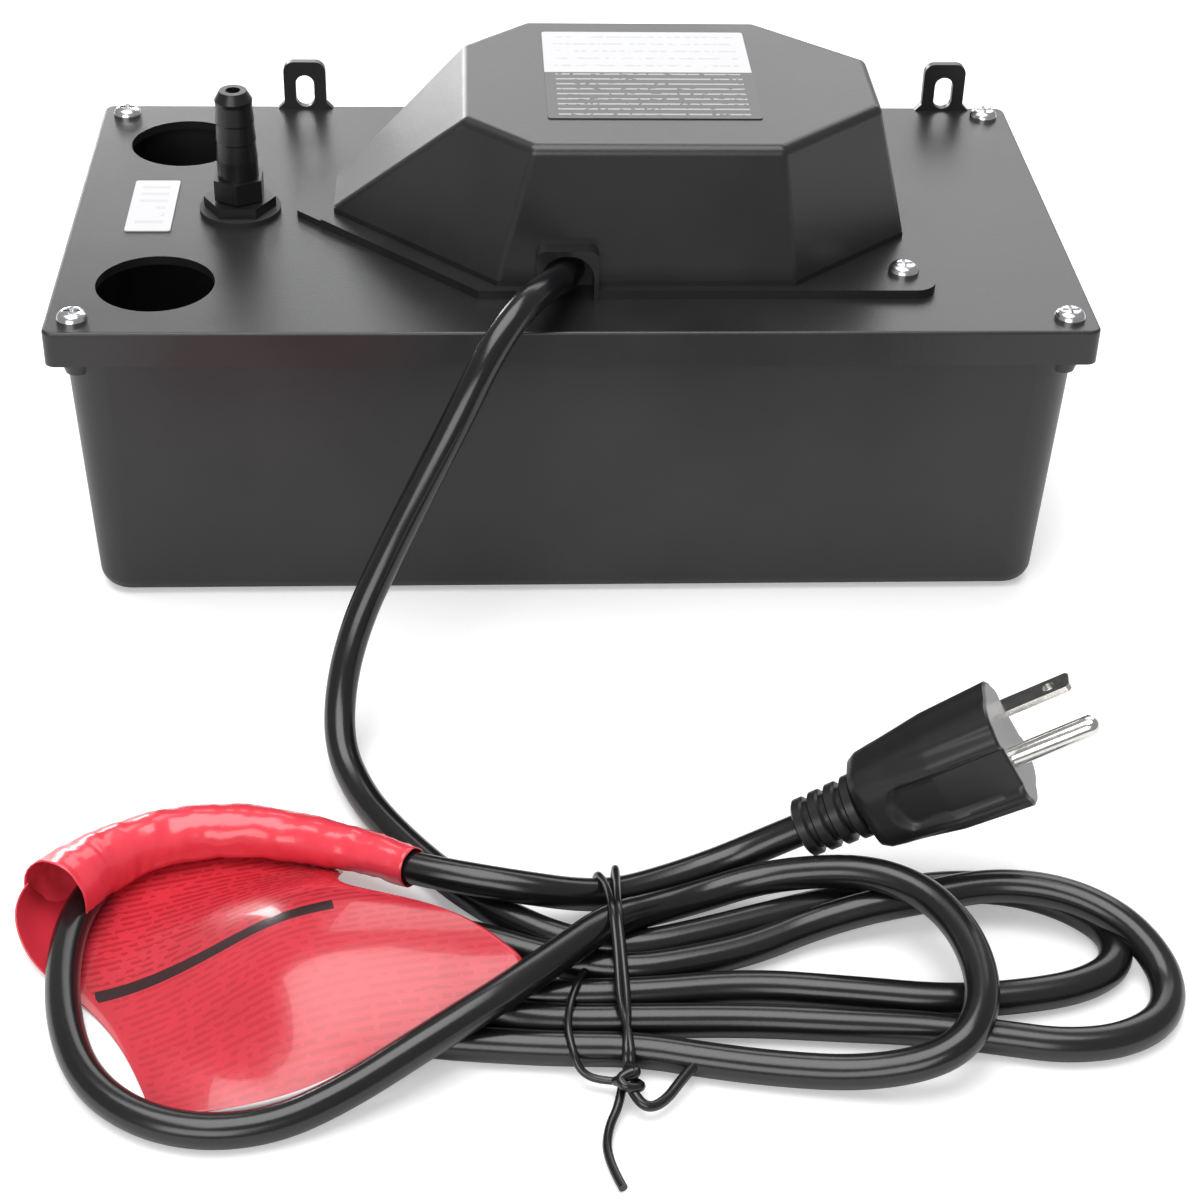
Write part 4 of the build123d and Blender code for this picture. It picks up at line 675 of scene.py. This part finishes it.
def blade(mesh, up):
    """One flat blade: a plate with a round hole near its bevelled tip."""
    outline = [
        (PIN_ROOT, -BLADE_HALF_WIDTH), (BLADE_TIP - BLADE_TIP_BEVEL, -BLADE_HALF_WIDTH),
        (BLADE_TIP, -BLADE_TIP_HALF_WIDTH), (BLADE_TIP, BLADE_TIP_HALF_WIDTH),
        (BLADE_TIP - BLADE_TIP_BEVEL, BLADE_HALF_WIDTH), (PIN_ROOT, BLADE_HALF_WIDTH),
    ]
    angles = [2 * math.pi * i / BLADE_HOLE_SIDES for i in range(BLADE_HOLE_SIDES)]
    hole = [
        (BLADE_HOLE_STATION + BLADE_HOLE_RADIUS * math.cos(angle), BLADE_HOLE_RADIUS * math.sin(angle))
        for angle in angles
    ]
    edges = []
    for loop in (outline, hole):
        corners = [
            mesh.verts.new(plug_point(station, BLADE_ACROSS + across, up - BLADE_HALF_THICKNESS))
            for station, across in loop
        ]
        edges += [mesh.edges.new(pair) for pair in zip(corners, corners[1:] + corners[:1])]
    filled = bmesh.ops.triangle_fill(mesh, edges=edges, use_beauty=True)["geom"]
    plate = [part for part in filled if isinstance(part, bmesh.types.BMFace)]
    raised = bmesh.ops.extrude_face_region(mesh, geom=plate)["geom"]
    upper = [part for part in raised if isinstance(part, bmesh.types.BMVert)]
    bmesh.ops.translate(mesh, verts=upper, vec=plug_up * (2 * BLADE_HALF_THICKNESS * MM))


def two_blades(mesh):
    for side in (-1, 1):
        blade(mesh, side * BLADE_UP)


for name, shape, paint, slot, replaced in (
    ("plug_shell", body_shell, plug_pvc, "cord_pvc", "plug_body"),
    ("plug_relief", strain_relief, plug_pvc, "cord_pvc", None),
    ("plug_pin_blades", two_blades, nickel, "plug_metal", "plug_blades"),
    ("plug_pin_ground", ground_pin, nickel, "plug_metal", "ground_pin"),
):
    mesh = bmesh.new()
    shape(mesh)
    mesh.normal_update()
    bmesh.ops.recalc_face_normals(mesh, faces=mesh.faces)
    piece = mesh_piece(name, mesh, paint)
    piece.data.set_sharp_from_angle(angle=math.radians(38))
    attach(piece, "base")
    if replaced:
        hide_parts(replaced)

# ------------------------------------------------------------------ studio
FLOOR_SIZE = 12
# The paper ends in front of the object for the light, and shows white to the camera all the same.
PAPER_END_Y = (-0.50, -0.38)
WORLD_LIGHT = 0.34
CAMERA_PLACE = (-0.02870, -0.63112, 0.39428)
CAMERA_HEADING = math.radians(-3.760)
CAMERA_DIP = math.radians(35.074)
CAMERA_ROLL = math.radians(1.716)
CAMERA_LENS = 72.30
CAMERA_SENSOR = 36.0

bpy.ops.mesh.primitive_plane_add(size=FLOOR_SIZE, location=(0, 0, 0))
floor = bpy.context.object
floor.name = "floor"
floor_paint = Paint("floor paper")
near_paper = floor_paint.y.ramp(*PAPER_END_Y)
pale_paper = floor_paint.mix(floor_paint.noise(3.0, 2.0), (0.86, 0.86, 0.865), (0.88, 0.88, 0.88))
glow = floor_paint.mix(near_paper, (0.95, 0.95, 0.95), (0.30, 0.30, 0.30))
seen = add_node(floor_paint.tree, "ShaderNodeLightPath", output="Is Camera Ray")
floor_paint.set(
    Base_Color=floor_paint.mix(near_paper, (0.10, 0.10, 0.10), pale_paper),
    Roughness=0.9,
    Specular_IOR_Level=0.1,
    Emission_Color=floor_paint.mix(seen, (0, 0, 0), glow),
    Emission_Strength=1.0,
)
floor.data.materials.append(floor_paint.material)


def softbox(name, place, target, width, height, power):
    data = bpy.data.lights.new(name, "AREA")
    data.shape = "RECTANGLE"
    data.size = width
    data.size_y = height
    data.energy = power
    lamp = bpy.data.objects.new(name, data)
    bpy.context.scene.collection.objects.link(lamp)
    lamp.location = place
    lamp.rotation_euler = (Vector(target) - Vector(place)).to_track_quat("-Z", "Y").to_euler()


softbox("back sheen", place=(0.5, 1.6, 1.15), target=(0, 0, 0.1), width=1.6, height=1.3, power=15)
softbox("ramp glow", place=(-0.62, 1.9, 0.40), target=(0, 0, 0.1), width=0.9, height=0.42, power=13)
softbox("overhead", place=(-0.2, -0.1, 1.8), target=(0, 0, 0), width=1.6, height=1.4, power=30)
softbox("front fill", place=(-0.6, -1.9, 1.0), target=(0, 0, 0.05), width=1.6, height=1.0, power=18)

# The world lights the object softly, and is white to the camera.
world = bpy.data.worlds.new("studio")
bpy.context.scene.world = world
world.use_nodes = True
world_colour, world_strength = world.node_tree.nodes["Background"].inputs[:2]
world_seen = add_node(world.node_tree, "ShaderNodeLightPath", output="Is Camera Ray")
feed(world.node_tree, world_colour, (1.0, 1.0, 1.0, 1.0))
feed(world.node_tree, world_strength, world_seen * (1 - WORLD_LIGHT) + WORLD_LIGHT)

camera_data = bpy.data.cameras.new("camera")
camera_data.lens = CAMERA_LENS
camera_data.sensor_width = CAMERA_SENSOR
camera = bpy.data.objects.new("camera", camera_data)
bpy.context.scene.collection.objects.link(camera)
camera.matrix_world = (
    Matrix.Translation(CAMERA_PLACE)
    @ Matrix.Rotation(CAMERA_HEADING, 4, "Z")
    @ Matrix.Rotation(math.radians(90) - CAMERA_DIP, 4, "X")
    @ Matrix.Rotation(CAMERA_ROLL, 4, "Z")
)
bpy.context.scene.camera = camera
bpy.context.scene.view_settings.view_transform = "Standard"
